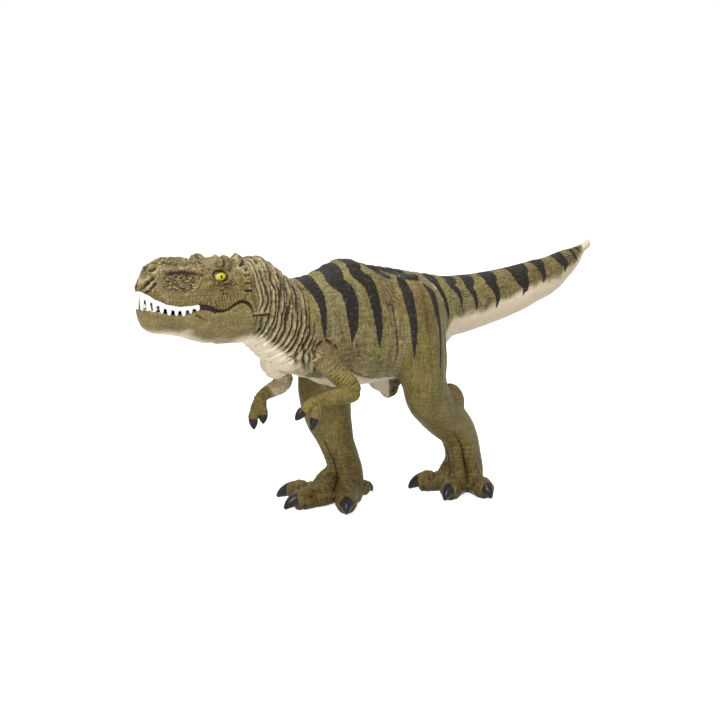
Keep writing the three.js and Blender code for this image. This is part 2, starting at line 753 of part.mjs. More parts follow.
const calfAt = new THREE.Vector3(hipX + 0.235 * strideReach, -hipOut, 0.53 * hipHeight);
const calfRadii = [0.09 * hipHeight, 0.068 * hipHeight, 0.09 * hipHeight];

// Arms: back, outward and down from the shoulder, half depth and half width, as shares of the arm's length
const shoulderX = tailSeamX - 0.712 * trunkLength;
const shoulderZ = backHeight - 0.76 * trunkDepth;
const shoulderOut = 0.42 * trunkWidth;
const leftArmShares = [
  [-0.03, -0.1, -0.14, 0.15, 0.09],
  [0, 0.02, -0.02, 0.16, 0.12],
  [0.09, 0.1, 0.12, 0.13, 0.11],
  [0.19, 0.16, 0.24, 0.115, 0.11],
  [0.2, 0.18, 0.34, 0.11, 0.11],
  [0.04, 0.19, 0.35, 0.1, 0.1],
  [-0.17, 0.2, 0.355, 0.083, 0.08],
  [-0.36, 0.2, 0.375, 0.068, 0.068],
  [-0.42, 0.2, 0.39, 0.055, 0.055],
];
const rightArmShares = [
  [-0.03, -0.1, -0.14, 0.15, 0.09],
  [0, 0.02, -0.02, 0.16, 0.12],
  [0.05, 0.04, 0.14, 0.13, 0.11],
  [0.1, 0.05, 0.28, 0.115, 0.11],
  [0.09, 0.05, 0.37, 0.11, 0.11],
  [-0.06, 0.03, 0.42, 0.1, 0.1],
  [-0.22, 0.01, 0.46, 0.083, 0.08],
  [-0.34, 0, 0.52, 0.068, 0.068],
  [-0.37, 0, 0.57, 0.055, 0.055],
];
// Fingers: from the wrist to the tip, back, outward and down, as shares of the arm's length
const leftFingers = [
  [[-0.36, 0.19, 0.37], [-0.45, 0.18, 0.42], [-0.52, 0.17, 0.47], [-0.62, 0.17, 0.56]],
  [[-0.34, 0.21, 0.4], [-0.37, 0.23, 0.48], [-0.39, 0.24, 0.56], [-0.45, 0.25, 0.69]],
];
const rightFingers = [
  [[-0.35, 0, 0.55], [-0.4, 0, 0.63], [-0.42, 0, 0.71], [-0.43, -0.01, 0.85]],
  [[-0.33, -0.02, 0.55], [-0.34, -0.05, 0.63], [-0.33, -0.06, 0.7], [-0.33, -0.06, 0.82]],
];

function armForm(side, shares, fingers) {
  const place = ([back, out, down]) => [
    shoulderX + back * armLength,
    side * (shoulderOut + out * armLength),
    shoulderZ - down * armLength,
  ];
  const rows = shares.map((row) => [...place(row), row[3] * armLength, row[4] * armLength]);
  const digits = fingers.flatMap(([root, knuckle, bed, tip]) => {
    const beside = (a, b, u) => place(a).map((value, n) => THREE.MathUtils.lerp(value, place(b)[n], u));
    const finger = [
      [...place(root), fingerRadius * 1.15, fingerRadius * 1.15],
      [...place(knuckle), fingerRadius, fingerRadius],
      [...place(bed), fingerRadius, fingerRadius],
    ];
    const claw = [
      [...beside(knuckle, bed, 0.7), fingerRadius * 0.8, fingerRadius * 0.8],
      [...beside(bed, tip, 0.45), fingerRadius * 0.66, fingerRadius * 0.66],
      [...place(tip), fingerRadius * 0.22, fingerRadius * 0.22],
    ];
    return [limb(finger, 8, limbSteps, [0.3, 0.4]), limb(claw, 8, limbSteps, [0.2, 0.8])];
  });
  return joined(limb(rows, 14), ...digits);
}

function shoulderPlugSolid(side, grow = 0) {
  const at = new THREE.Vector3(shoulderX, 0, shoulderZ);
  const inner = shoulderOut - shoulderPlug.reach;
  const ends = side < 0 ? [-shoulderOut, -inner + grow] : [inner - grow, shoulderOut];
  return rodAlongY(at, shoulderPlug.radius + grow, ...ends, smallSides);
}

// Tail from its seam: along, rise and swing to the right as shares of its length,
// then depth and width as shares of the seam's
const tailShares = [
  [0, 0, 0, 1, 1],
  [0.116, 0.007, 0, 0.924, 0.89],
  [0.231, 0.018, 0, 0.871, 0.8],
  [0.347, 0.033, 0, 0.824, 0.72],
  [0.463, 0.052, 0.002, 0.768, 0.64],
  [0.554, 0.07, 0.008, 0.7, 0.58],
  [0.636, 0.082, 0.021, 0.656, 0.52],
  [0.715, 0.101, 0.038, 0.603, 0.46],
  [0.781, 0.122, 0.053, 0.518, 0.38],
  [0.839, 0.138, 0.066, 0.426, 0.31],
  [0.893, 0.16, 0.077, 0.312, 0.235],
  [0.934, 0.185, 0.086, 0.176, 0.155],
  [0.967, 0.201, 0.093, 0.159, 0.13],
  [0.988, 0.207, 0.097, 0.153, 0.12],
];
const tailHalfDepth = (tailSeam[TOP] - tailSeam[BOTTOM]) / 2;
const tailRows = tailShares.map(([along, rise, swing, depth, width]) => [
  tailSeam[X] + seamGap + along * tailLength,
  swing * tailLength,
  tailSeam[BOTTOM] + tailHalfDepth + rise * tailLength,
  depth * tailHalfDepth,
  width * tailSeam[HALF],
]);

function tailForm() {
  const rows = tailRows.map(([x, y, z, deep, half]) => [x, y, z + deep, z, z - deep, half]);
  const seamRow = [tailSeam[X] + seamGap, 0, ...tailSeam.slice(TOP)];
  return bodySkin([seamRow, ...rows.slice(1)], trunkPowers, 0, tailSeam[X] + tailLength);
}

// Pubic bulge under the belly
const bulgeAt = new THREE.Vector3(hipX - 0.05 * hipHeight, 0, 0.645 * hipHeight);
const bulgeRadii = [0.11 * hipHeight, 0.075 * hipHeight, 0.09 * hipHeight];

// Lower jaw: the shut head's own skin below the rim, hollowed, with an arm each side of the core
function jawRegion() {
  const outline = [
    [frontX, rimLine[0][1]],
    ...rimLine,
    ...sideView(rimCornerShares),
    ...arcPoints(hinge, hingeRadius, 150, -55, 16),
    [hinge.x + 0.2 * hingeRadius, hinge.z - 1.2 * hingeRadius],
    [hinge.x - 0.2 * hingeRadius, floorZ],
    [frontX, floorZ],
  ];
  return sideSlab(outline, -wideY, wideY);
}

function coreClearance() {
  const reach = coreRadius + runningGap;
  const round = arcPoints(hinge, reach, 150, 229);
  const outline = [
    ...round,
    [round.at(-1)[0], floorZ],
    [backX, floorZ],
    [backX, neckSeam[TOP]],
    [headX(0.44), neckSeam[TOP]],
  ];
  return sideSlab(outline, -coreHalf - runningGap, coreHalf + runningGap);
}

const jawFloorShares = [[0.923, 0.65], [0.72, 0.69], [0.44, 0.79]];
const troughPowers = [2.5, 4];
const jawFloor = sideView(jawFloorShares);

function jawTrough() {
  const rows = headRows.map((row) => [
    ...row.slice(X, BOTTOM),
    heightOn(jawFloor, row[X]) - mouthWall,
    row[HALF],
  ]);
  const outline = [...jawFloor, [jawFloor.at(-1)[0], neckSeam[TOP]], [jawFloor[0][0], neckSeam[TOP]]];
  return bodySkin(rows, troughPowers, -mouthWall).intersect(sideSlab(outline, -wideY, wideY));
}

function lowerJaw() {
  const bore = rodAlongY(hinge, pinRadius + seamGap, -pinReach - seamGap, pinReach + seamGap);
  return headForm()
    .intersect(jawRegion())
    .subtract(jawTrough())
    .subtract(coreClearance())
    .subtract(bore)
    .subtract(bandGroove(rimLine, lowerInset, lowerBandThickness, grooveMouth, rootDepth + seamGap));
}

// Tongue on the floor of the jaw: station and half width, as shares of the head
const tongueShares = [
  [0.47, 0.1],
  [0.575, 0.12],
  [0.7, 0.115],
  [0.8, 0.09],
];
const tongueThickness = 2.6;

function tongue() {
  const rows = tongueShares.map(([station, width]) => [
    headX(station),
    0,
    heightOn(jawFloor, headX(station)) + tongueThickness / 2 + 2 * seamGap,
    tongueThickness / 2,
    width * headWidth,
  ]);
  return limb(rows, 12, limbSteps, [0.8, 1.2]);
}

// Assembly
const LEFT = -1;
const RIGHT = 1;
const trunkCutter = trunkForm(seamGap);
const leftLeg = legForm(LEFT, leftLegShares, leftToes, leftSpur, [lump(calfAt, calfRadii)]);
const rightLeg = legForm(RIGHT, rightLegShares, rightToes, rightSpur, []);
const legBody = (form, side) =>
  largestOf(form.subtract(soleTrim).subtract(trunkCutter)).add(hipPlugSolid(side));
const armBody = (side, shares, fingers) =>
  largestOf(armForm(side, shares, fingers).subtract(trunkCutter)).add(shoulderPlugSolid(side));

const trunk = joined(trunkForm(), lump(bulgeAt, bulgeRadii))
  .subtract(neckPlugSolid(seamGap))
  .subtract(tailPlugSolid(seamGap))
  .subtract(joined(...[LEFT, RIGHT].map((side) => hipPlugSolid(side, seamGap))))
  .subtract(joined(...[LEFT, RIGHT].map((side) => shoulderPlugSolid(side, seamGap))));

const upperRow = upperTeeth();
const upperGroove = bandGroove(lipLine, upperInset, bandThickness, rootDepth + seamGap, grooveMouth)
  .intersect(headForm(seamGap - gumCover));
const head = joined(headForm(), ...[LEFT, RIGHT].flatMap((side) => [...browParts(side), ...headFormsOn(side)]))
  .subtract(joined(skinPatch(LEFT, sideHollow), skinPatch(RIGHT, sideHollow)))
  .subtract(mouthCut())
  .subtract(palate())
  .subtract(upperGroove)
  .subtract(joined(eyeBall(LEFT, seamGap), eyeBall(RIGHT, seamGap)))
  .subtract(rodAlongY(hinge, pinRadius + seamGap, -wideY, wideY))
  .add(neckPlugSolid());

const figure = new THREE.Group();
const jawGroup = new THREE.Group();
jawGroup.position.copy(hinge);
for (const mesh of [
  meshOf("lower_jaw", lowerJaw(), jawOlive, hinge),
  meshOf("lower_teeth", lowerTeeth(), toothWhite, hinge),
  meshOf("tongue", tongue(), tonguePink, hinge),
]) {
  mesh.position.sub(hinge);
  jawGroup.add(mesh);
}
figure.add(
  meshOf("trunk", trunk, skinOlive),
  meshOf("head", head, skinOlive),
  meshOf("upper_teeth", upperRow, toothWhite),
  meshOf("left_eye", eyeBall(LEFT), eyeYellow, eyeAt(LEFT)),
  meshOf("right_eye", eyeBall(RIGHT), eyeYellow, eyeAt(RIGHT)),
  meshOf("jaw_hinge_pin", rodAlongY(hinge, pinRadius, -pinReach, pinReach), pinSteel, hinge),
  meshOf("left_arm", armBody(LEFT, leftArmShares, leftFingers), skinOlive),
  meshOf("right_arm", armBody(RIGHT, rightArmShares, rightFingers), skinOlive),
  meshOf("left_leg", legBody(leftLeg, LEFT), skinOlive),
  meshOf("right_leg", legBody(rightLeg, RIGHT), skinOlive),
  meshOf("tail", tailForm().add(tailPlugSolid()), skinOlive),
  jawGroup,
);

// The frame's origin is the middle of the bounding box, on the floor.
const box = new THREE.Box3().setFromObject(figure, true);
const middle = box.getCenter(new THREE.Vector3());
figure.position.set(-middle.x, -middle.y, -box.min.z);
const part = new THREE.Group();
part.add(figure);

export default part;
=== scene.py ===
import math
import bpy
import bmesh
import numpy as np
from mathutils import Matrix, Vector
from mathutils.bvhtree import BVHTree


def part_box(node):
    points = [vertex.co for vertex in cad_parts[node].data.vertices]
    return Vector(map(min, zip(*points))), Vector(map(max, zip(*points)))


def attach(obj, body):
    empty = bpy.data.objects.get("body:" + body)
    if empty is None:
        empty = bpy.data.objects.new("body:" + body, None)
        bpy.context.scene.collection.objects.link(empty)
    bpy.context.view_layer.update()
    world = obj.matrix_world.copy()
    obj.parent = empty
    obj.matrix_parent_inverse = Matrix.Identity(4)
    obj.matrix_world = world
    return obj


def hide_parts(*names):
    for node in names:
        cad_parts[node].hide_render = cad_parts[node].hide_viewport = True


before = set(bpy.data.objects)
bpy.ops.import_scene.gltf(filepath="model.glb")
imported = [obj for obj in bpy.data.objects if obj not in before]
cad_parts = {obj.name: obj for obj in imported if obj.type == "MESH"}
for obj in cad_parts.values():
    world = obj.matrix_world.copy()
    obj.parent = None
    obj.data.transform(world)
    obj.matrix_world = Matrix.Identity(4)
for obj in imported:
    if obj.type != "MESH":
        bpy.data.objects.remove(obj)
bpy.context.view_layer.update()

mm = 0.001
draftHinge = np.array([-110.585, 0, 107.897])  # where the tables below have the jaw hinge, in mm


def middleOf(box):
    low, high = box
    return (np.array(low) + np.array(high)) / 2 / mm


shift = middleOf(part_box("jaw_hinge_pin")) - draftHinge  # from the tables' place to the frame's
eyePlace = middleOf(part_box("left_eye")) - shift
sharpAngle = 50  # degrees, above which an edge stays sharp


# Meshes from numpy arrays in mm

def addObject(name, data):
    thing = bpy.data.objects.new(name, data)
    bpy.context.scene.collection.objects.link(thing)
    return thing


def newObject(name, points, faces, material=None, edges=()):
    mesh = bpy.data.meshes.new(name)
    mesh.from_pydata(((points + shift) * mm).tolist(), edges, faces)
    mesh.validate()
    if material:
        mesh.materials.append(material)
    return addObject(name, mesh)


def readAll(items, key, wide=1):
    flat = np.empty(len(items) * wide, np.float32)
    items.foreach_get(key, flat)
    return flat.reshape(-1, wide).astype(float) if wide > 1 else flat


def pointsOf(thing):
    return readAll(thing.data.vertices, "co", 3) / mm - shift


def normalsOf(thing):
    return readAll(thing.data.vertex_normals, "vector", 3)


def maskOf(thing, name):
    return readAll(thing.data.attributes[name].data, "value")


def setPoints(thing, points):
    thing.data.vertices.foreach_set("co", ((points + shift) * mm).astype(np.float32).ravel())
    thing.data.update()


def setMask(thing, name, values):
    mask = thing.data.attributes.get(name) or thing.data.attributes.new(name, "FLOAT", "POINT")
    mask.data.foreach_set("value", np.asarray(values, np.float32))


def setCoat(thing, name, colours):
    full = np.ones((len(colours), 4), np.float32)
    full[:, :3] = colours
    thing.data.attributes.new(name, "FLOAT_COLOR", "POINT").data.foreach_set("color", full.ravel())


def editMesh(thing, change):
    work = bmesh.new()
    work.from_mesh(thing.data)
    change(work)
    work.to_mesh(thing.data)
    work.free()
    thing.data.update()


def outward(thing):
    def turn(work):
        if work.calc_volume(signed=True) < 0:
            bmesh.ops.reverse_faces(work, faces=work.faces)

    editMesh(thing, turn)


def closedSkin(name, rings, startPole, endPole, material=None):
    count, sides = rings.shape[:2]
    start = (np.arange(count - 1)[:, None] * sides).ravel()[:, None]
    i = np.arange(sides)[None, :]
    j = (i + 1) % sides
    quads = np.stack([start + i, start + j, start + sides + j, start + sides + i], -1)
    first, last, end = count * sides, count * sides + 1, (count - 1) * sides
    faces = quads.reshape(-1, 4).tolist()
    faces += [[first, (k + 1) % sides, k] for k in range(sides)]
    faces += [[last, end + k, end + (k + 1) % sides] for k in range(sides)]
    thing = newObject(name, np.vstack([rings.reshape(-1, 3), startPole, endPole]), faces, material)
    outward(thing)
    return thing


def joined(name, shells, material=None):
    vertices, faces = [], []
    for shell in shells:
        faces += [[k + len(vertices) for k in face.vertices] for face in shell.data.polygons]
        vertices += pointsOf(shell).tolist()
        bpy.data.objects.remove(shell)
    return newObject(name, np.array(vertices), faces, material)


def treeOf(thing):
    return BVHTree.FromPolygons(pointsOf(thing).tolist(), [list(face.vertices) for face in thing.data.polygons])


def applyModifiers(thing):
    graph = bpy.context.evaluated_depsgraph_get()
    made = bpy.data.meshes.new_from_object(thing.evaluated_get(graph), preserve_all_data_layers=True, depsgraph=graph)
    thing.modifiers.clear()
    thing.data = made
    return thing


def cutWith(thing, tool, operation="DIFFERENCE"):
    cut = thing.modifiers.new("cut", "BOOLEAN")
    cut.operation, cut.object, cut.solver = operation, tool, "MANIFOLD"
    applyModifiers(thing)
    bpy.data.objects.remove(tool)


def shadeSmooth(thing):
    thing.data.polygons.foreach_set("use_smooth", [True] * len(thing.data.polygons))
    thing.data.set_sharp_from_angle(angle=math.radians(sharpAngle))


# Fields over points, in mm

def smoothRows(rows, steps):
    rows = np.array(rows, float)
    last = len(rows) - 1
    made = []
    for i in range(last * steps + 1):
        k = min(i // steps, last - 1)
        u = i / steps - k
        a, b, c, d = (rows[min(max(k + n, 0), last)] for n in (-1, 0, 1, 2))
        made.append(b + (c - a + (2 * a - 5 * b + 4 * c - d + (3 * b - a - 3 * c + d) * u) * u) * u / 2)
    return np.array(made)


def hashed(cell, seed):
    mixed = (cell[..., 0] * 73856093) ^ (cell[..., 1] * 19349663) ^ (cell[..., 2] * 83492791) ^ (seed * 40503)
    mixed = (mixed ^ (mixed >> 13)) * 1274126177
    mixed = (mixed ^ (mixed >> 16)) * 668265263
    return ((mixed >> 11) & 0xFFFF) / 65535.0


def softNoise(points, size, seed=1):
    q = points / size
    base = np.floor(q).astype(np.int64)
    f = q - base
    f = f * f * (3 - 2 * f)
    total = 0
    for corner in np.ndindex(2, 2, 2):
        weight = np.prod(np.where(np.array(corner) == 1, f, 1 - f), axis=-1)
        total = total + weight * hashed(base + np.array(corner), seed)
    return total * 2 - 1


def layeredNoise(points, size, seed=1, layers=2):
    return sum(softNoise(points, size / 2**k, seed + k) / 2**k for k in range(layers)) / 1.6


def cellGap(points, size, seed=1):
    q = points / size
    base = np.floor(q).astype(np.int64)
    nearest = np.full(len(points), 9.0)
    second = np.full(len(points), 9.0)
    for step in np.ndindex(3, 3, 3):
        cell = base + np.array(step) - 1
        spot = cell + np.stack([hashed(cell, seed + n) for n in range(3)], -1)
        far = np.linalg.norm(q - spot, axis=-1)
        second = np.minimum(second, np.maximum(nearest, far))
        nearest = np.minimum(nearest, far)
    return second - nearest  # 0 in the creases between pebbles, about 0.8 in their middles


def smooth(low, high, value):
    u = np.clip((value - low) / (high - low), 0, 1)
    return u * u * (3 - 2 * u)


def window(value, start, full, ebb, end):
    return smooth(start, full, value) * smooth(end, ebb, value)


def bell(value, width):
    return np.exp(-((value / width) ** 2))


def wave(value, spacing):
    return np.cos(2 * math.pi * value / spacing)


def ripple(value, spacing):
    return 0.5 + 0.5 * wave(value, spacing)


def offWhole(value):
    return np.abs(value - np.round(value))


def lineDistance(points, line):
    best = np.full(len(points), 1e9)
    share = np.zeros(len(points))
    line = np.array(line, float)
    runs = np.linalg.norm(np.diff(line, axis=0), axis=1)
    starts = np.concatenate([[0], np.cumsum(runs)])
    for k in range(len(line) - 1):
        along = line[k + 1] - line[k]
        u = np.clip(((points - line[k]) @ along) / (along @ along), 0, 1)
        far = np.linalg.norm(points - line[k] - u[:, None] * along, axis=1)
        closer = far < best
        best = np.where(closer, far, best)
        share = np.where(closer, (starts[k] + u * runs[k]) / starts[-1], share)
    return best, share


def heightOn(line, x):
    line = np.array(sorted(line))
    return np.interp(x, line[:, 0], line[:, 1])


def swell(points, normals, centre, radii, round):
    q = (points - centre) / radii
    m = normals / radii
    a = (m * m).sum(1)
    b = (q * m).sum(1)
    c = (q * q).sum(1) - 1
    root = b * b - a * c
    reach = np.where(root > 0, (-b + np.sqrt(np.maximum(root, 0))) / a, 0)
    height = np.where(c < 0, reach, -(np.sqrt(c + 1) - 1) * min(radii))
    return np.where(height > 6 * round, height, round * np.log1p(np.exp(np.clip(height / round, -30, 30))))


# The body from the tip of the tail to the snout: x, y, top, widest height, bottom, half width and two powers
bodyRows = [
    [157.8, 11.7, 127.7, 125.1, 122.5, 1.9, 1.9, 2.1], [155.3, 11.3, 127, 124.3, 121.6, 2, 1.9, 2.1],
    [151.3, 10.4, 125.4, 122.4, 119.4, 2.4, 1.9, 2.1], [146.4, 9.3, 124.7, 119.4, 114.1, 3.6, 1.9, 2.1],
    [139.8, 8, 123.9, 116.7, 109.5, 4.8, 1.9, 2.1], [132.8, 6.4, 123.6, 114.8, 106, 5.9, 1.9, 2.1],
    [124.8, 4.6, 122.5, 112.2, 102, 7.1, 1.9, 2.1], [115.3, 2.5, 121.1, 109.9, 98.8, 8, 1.9, 2.1],
    [105.3, 1, 120.4, 108.5, 96.6, 9, 1.9, 2.1], [94.3, 0.2, 119.3, 106.3, 93.3, 9.9, 1.9, 2.1],
    [80.3, 0, 118, 104, 90, 11.1, 1.9, 2.1], [66.3, 0, 117, 102.2, 87.4, 12.3, 1.9, 2.1],
    [52.3, 0, 116.5, 100.9, 85.2, 13.7, 1.9, 2.1], [38, 0, 117, 101, 83, 15.4, 1.9, 2.1],
    [28, 0, 118.8, 100, 76, 18.5, 1.9, 2.1], [17, 0, 120.8, 98, 69.5, 21, 1.9, 2.1],
    [0, 0, 124.3, 95, 65.5, 23, 1.9, 2.1], [-17, 0, 127.4, 92, 64.6, 24.3, 1.9, 2.1],
    [-30, 0, 131.7, 90, 65, 24.5, 1.9, 2.1], [-40, 0, 129.8, 90, 67, 23.8, 1.9, 2.1],
    [-52, 0, 125.2, 91, 70.5, 22.1, 1.9, 2.1], [-65, 0, 124, 94, 75, 19.8, 1.9, 2.1],
    [-71.3, 0, 126.7, 97.3, 78, 19, 1.9, 2.1], [-78, 0, 132.5, 101, 81.5, 18.3, 1.9, 2.1],
    [-85.9, 0, 136.8, 107, 88, 17.6, 1.9, 2.1], [-94, 0, 136.3, 111.9, 94, 17.4, 2.1, 2.15],
    [-100, 0, 137.6, 112, 94.5, 18.2, 2.5, 2.2], [-106, 0, 138.6, 111, 95, 18.5, 2.5, 2.2],
    [-112, 0, 139, 111, 95.3, 17.8, 2.5, 2.2], [-118, 0, 138.2, 112, 96, 16.2, 2.5, 2.2],
    [-124, 0, 137.8, 113, 97.8, 14.6, 2.5, 2.2], [-131, 0, 138.8, 115, 100.3, 13.4, 2.5, 2.2],
    [-138.3, 0, 139.7, 117, 102.2, 12.4, 2.5, 2.2], [-144.3, 0, 138.6, 118.5, 103.2, 11.2, 2.5, 2.2],
    [-148.6, 0, 135.6, 119.5, 104.2, 9.4, 2.5, 2.2], [-152.3, 0, 131, 120, 107, 6.8, 2.5, 2.2],
    [-154.5, 0, 126.5, 119.5, 112, 3.6, 2.5, 2.2],
]
bodyTable = smoothRows(bodyRows, 16)[::-1]
bodyGrid = {
    "halfSides": 150, "tailRing": 0.85, "trunkRing": 0.66, "neckRing": 0.38, "headRing": 0.36,
    "tailSeam": 38, "neckRoot": -58, "neckSeam": -94, "tailPole": 158.6, "snoutPole": -154.8,
}


def rowAt(x):
    return [np.interp(x, bodyTable[:, 0], bodyTable[:, n]) for n in range(1, 8)]


def bodyRing(x, count, grow=0, row=None):
    y0, top, wide, bottom, half, upper, lower = rowAt(x) if row is None else row
    turn = np.linspace(math.pi / 2, -math.pi / 2, 241)
    c, s = np.maximum(np.cos(turn), 0), np.sin(turn)
    power = np.where(s < 0, lower, upper)
    y = max(half + grow, 0.05) * c ** (2 / power)
    reach = np.where(s < 0, wide - bottom, top - wide)
    z = wide + np.sign(s) * np.abs(s) ** (2 / power) * np.maximum(reach + grow, 0.05)
    run = np.concatenate([[0], np.cumsum(np.hypot(np.diff(y), np.diff(z)))])
    at = np.linspace(0, run[-1], count + 1)
    y, z = np.interp(at, run, y), np.interp(at, run, z)
    y, z = np.concatenate([y, -y[-2:0:-1]]), np.concatenate([z, z[-2:0:-1]])
    return np.stack([np.full_like(y, x), y0 + y, z], -1)


def headHalfWidth(x, z):
    y0, top, wide, bottom, half, upper, lower = rowAt(x)
    power = np.where(z > wide, upper, lower)
    reach = np.where(z > wide, top - wide, wide - bottom)
    return half * (1 - np.clip(np.abs(z - wide) / reach, 0, 1) ** power) ** (1 / power)


# Relief of the body, in mm along the skin's normal: broad forms, and fine lines that also take the wash
# The lines are in the side view, as x and z
neckLook = {"spacing": 2.9, "depth": 1.25, "branch": 2.1, "wander": 1.8, "foldSpacing": 5, "foldHeight": 0.5}
shoulderLook = {"centre": [-58.6, 87], "radius": 6.6, "depth": 1.0}
shoulderCreases = [
    [[[-71.4, 95], [-69.9, 89.1], [-69.1, 85], [-66.3, 80.7], [-62.7, 76.7]], 0.8, 0.6],
    [[[-67, 88.4], [-65.6, 82.1], [-62.4, 78.3]], 0.75, 0.5], [[[-63.2, 82.4], [-59.3, 77]], 0.8, 0.5],
    [[[-65.4, 85.4], [-63, 87.4]], 0.9, 0.5], [[[-64.2, 83.4], [-62.2, 85]], 0.8, 0.45],
    [[[-62.8, 88.6], [-60.8, 87.4]], 0.7, 0.4], [[[-74, 92], [-73, 86], [-69.5, 80]], 0.6, 0.6],
]
neckSlit = [[-100.2, 110], [-95.2, 109.8], [-89.8, 109.9]]
farShoulder = {"centre": [-64.6, 12.6, 81.2], "radii": [8.6, 7.6, 10.5]}
crestLine = [
    [-36, 131], [-24.9, 128], [-18.5, 122.5], [-6.6, 120.2], [7.9, 117.4], [16.5, 114.6], [19, 108.9], [19.9, 100.1],
    [22, 93.8],
]
flankCreases = [
    [[[-15.4, 113], [-15.7, 102.3], [-14.6, 92], [-13.7, 83.7], [-12.8, 76]], 0.5, 1.3],
    [[[-18.8, 113], [-18.4, 104], [-17.8, 96]], 0.3, 1.1], [[[-11.2, 106], [-9.8, 96], [-9.6, 86]], 0.35, 1.1],
    [[[7, 106], [8.2, 92], [9.4, 78]], 0.35, 1.4],
    [[[-43.5, 78.6], [-38, 74.6], [-30, 71.4], [-20, 69.6], [-10, 69.6], [-3, 71.5]], 0.55, 1.2],
]
hipLook = {"crest": 1.0, "hollow": 0.9, "folds": 0.55, "foldSpacing": 2.3}
flankLook = {"folds": 0.22, "foldSpacing": 6.4, "upright": 0.26, "level": 0.22, "uneven": 0.35}
fenestra = {"centre": [-136.9, 128.5], "half": [10.2, 5.3], "tilt": -3, "depth": 1.1, "rim": 0.4}
fenestraTop = [[-144.5, 133.2], [-140.1, 133.5], [-134.3, 133.1], [-129.5, 132.4], [-125.4, 131.3]]
fenestraFoot = [[-135.4, 123.0], [-132.1, 124.4], [-128.3, 127.1]]
nasalLine = [[-147, 134.6], [-140, 134.6], [-132, 133.9], [-125, 133.4], [-120.5, 134.4]]
nasalSlit = [[-142, 137.4], [-134, 136.8], [-127, 136.6], [-121, 137]]
horns = [[[-113.4, -11.6, 136.2], [4.2, 3.6, 3.9], 0.9], [[-103.8, -9, 135.8], [4.3, 2.9, 3.5], 3.0]]
skullRear = [[-140, -104], [-131, -101], [-124, -101.6], [-114, -96]]  # -z and x
templeLine = [
    [-105.2, 137.4], [-104.6, 135.6], [-102.9, 133.3], [-101.6, 130.7], [-102, 126.1], [-102.2, 122.5],
    [-100.6, 118.6], [-97, 114],
]
templeSlits = [
    [[-103.3, 129.7], [-99.5, 129.6]], [[-104.1, 126.2], [-100.8, 125.9]], [[-104.7, 122.8], [-101.3, 122.3]],
    [[-102.7, 131.7], [-99.5, 132.9]], [[-104.5, 133.9], [-102.6, 134.6]],
]
snoutLines = [
    [[-152.7, 128.7], [-149.7, 132.0]], [[-153.9, 126.9], [-151.8, 129.6]], [[-153.6, 124.7], [-151.9, 125.8]],
    [[-149.3, 134.4], [-147, 136]], [[-151.6, 126.6], [-149.4, 129.2]],
]
browGroove = [[-114.6, 142.5], [-114.8, 139.4], [-114.6, 136.6], [-115.6, 134.6]]
cheekRidge = [
    [-125.3, 126.4], [-121.2, 127.3], [-118.1, 125.6], [-113.8, 124.1], [-110.4, 124.6], [-106.9, 121.9], [-103, 119],
    [-100.4, 115.6],
]
eyeLook = {"half": 3.5, "flat": 1.6, "shift": 0.3}
eyeFolds = {3.6: 0.75, 5.2: 0.55, 6.9: 0.35}  # depths by the distance from the lid
lipLine = [
    [-155.2, 125.1], [-152.2, 123], [-150.2, 121.2], [-145.6, 118.7], [-139.4, 117.2], [-132.9, 117.1],
    [-129.1, 117.6], [-127, 117.7], [-124, 117], [-121, 115.7],
]
rimLine = [
    [-155.2, 116], [-152.2, 115.6], [-147.1, 114.4], [-142, 113.2], [-136.5, 112.8], [-132.9, 113.5], [-129.1, 114.7],
    [-127, 115.1], [-123.5, 114.3], [-120.5, 112.8],
]
mouthCrease = [
    [-121.5, 114.2], [-117.2, 113.7], [-114.5, 114.6], [-111.8, 116.2], [-109.2, 117.4], [-106.6, 117.7],
    [-104.1, 116.7], [-101.6, 114.5], [-100.5, 111.9], [-100.4, 109.8],
]
jawScar = [[-130.4, 112.4], [-127.9, 111.1], [-124.6, 109.4]]
headLook = {
    "crownDip": 1.8, "nearTilt": 0.4, "nasal": 0.5, "browGroove": 0.9, "socket": 2.4, "lid": 1.5, "rearRim": 0.75,
    "slits": 0.85, "cheek": 1.1, "lipLines": 0.5, "mouthGap": 1.0, "jawGap": 0.9, "nostril": 1.3, "corner": 1.0,
}


def groove(far, width):
    return 1 - np.sqrt(1 - np.clip(1 - far / width, 0, 1) ** 2)


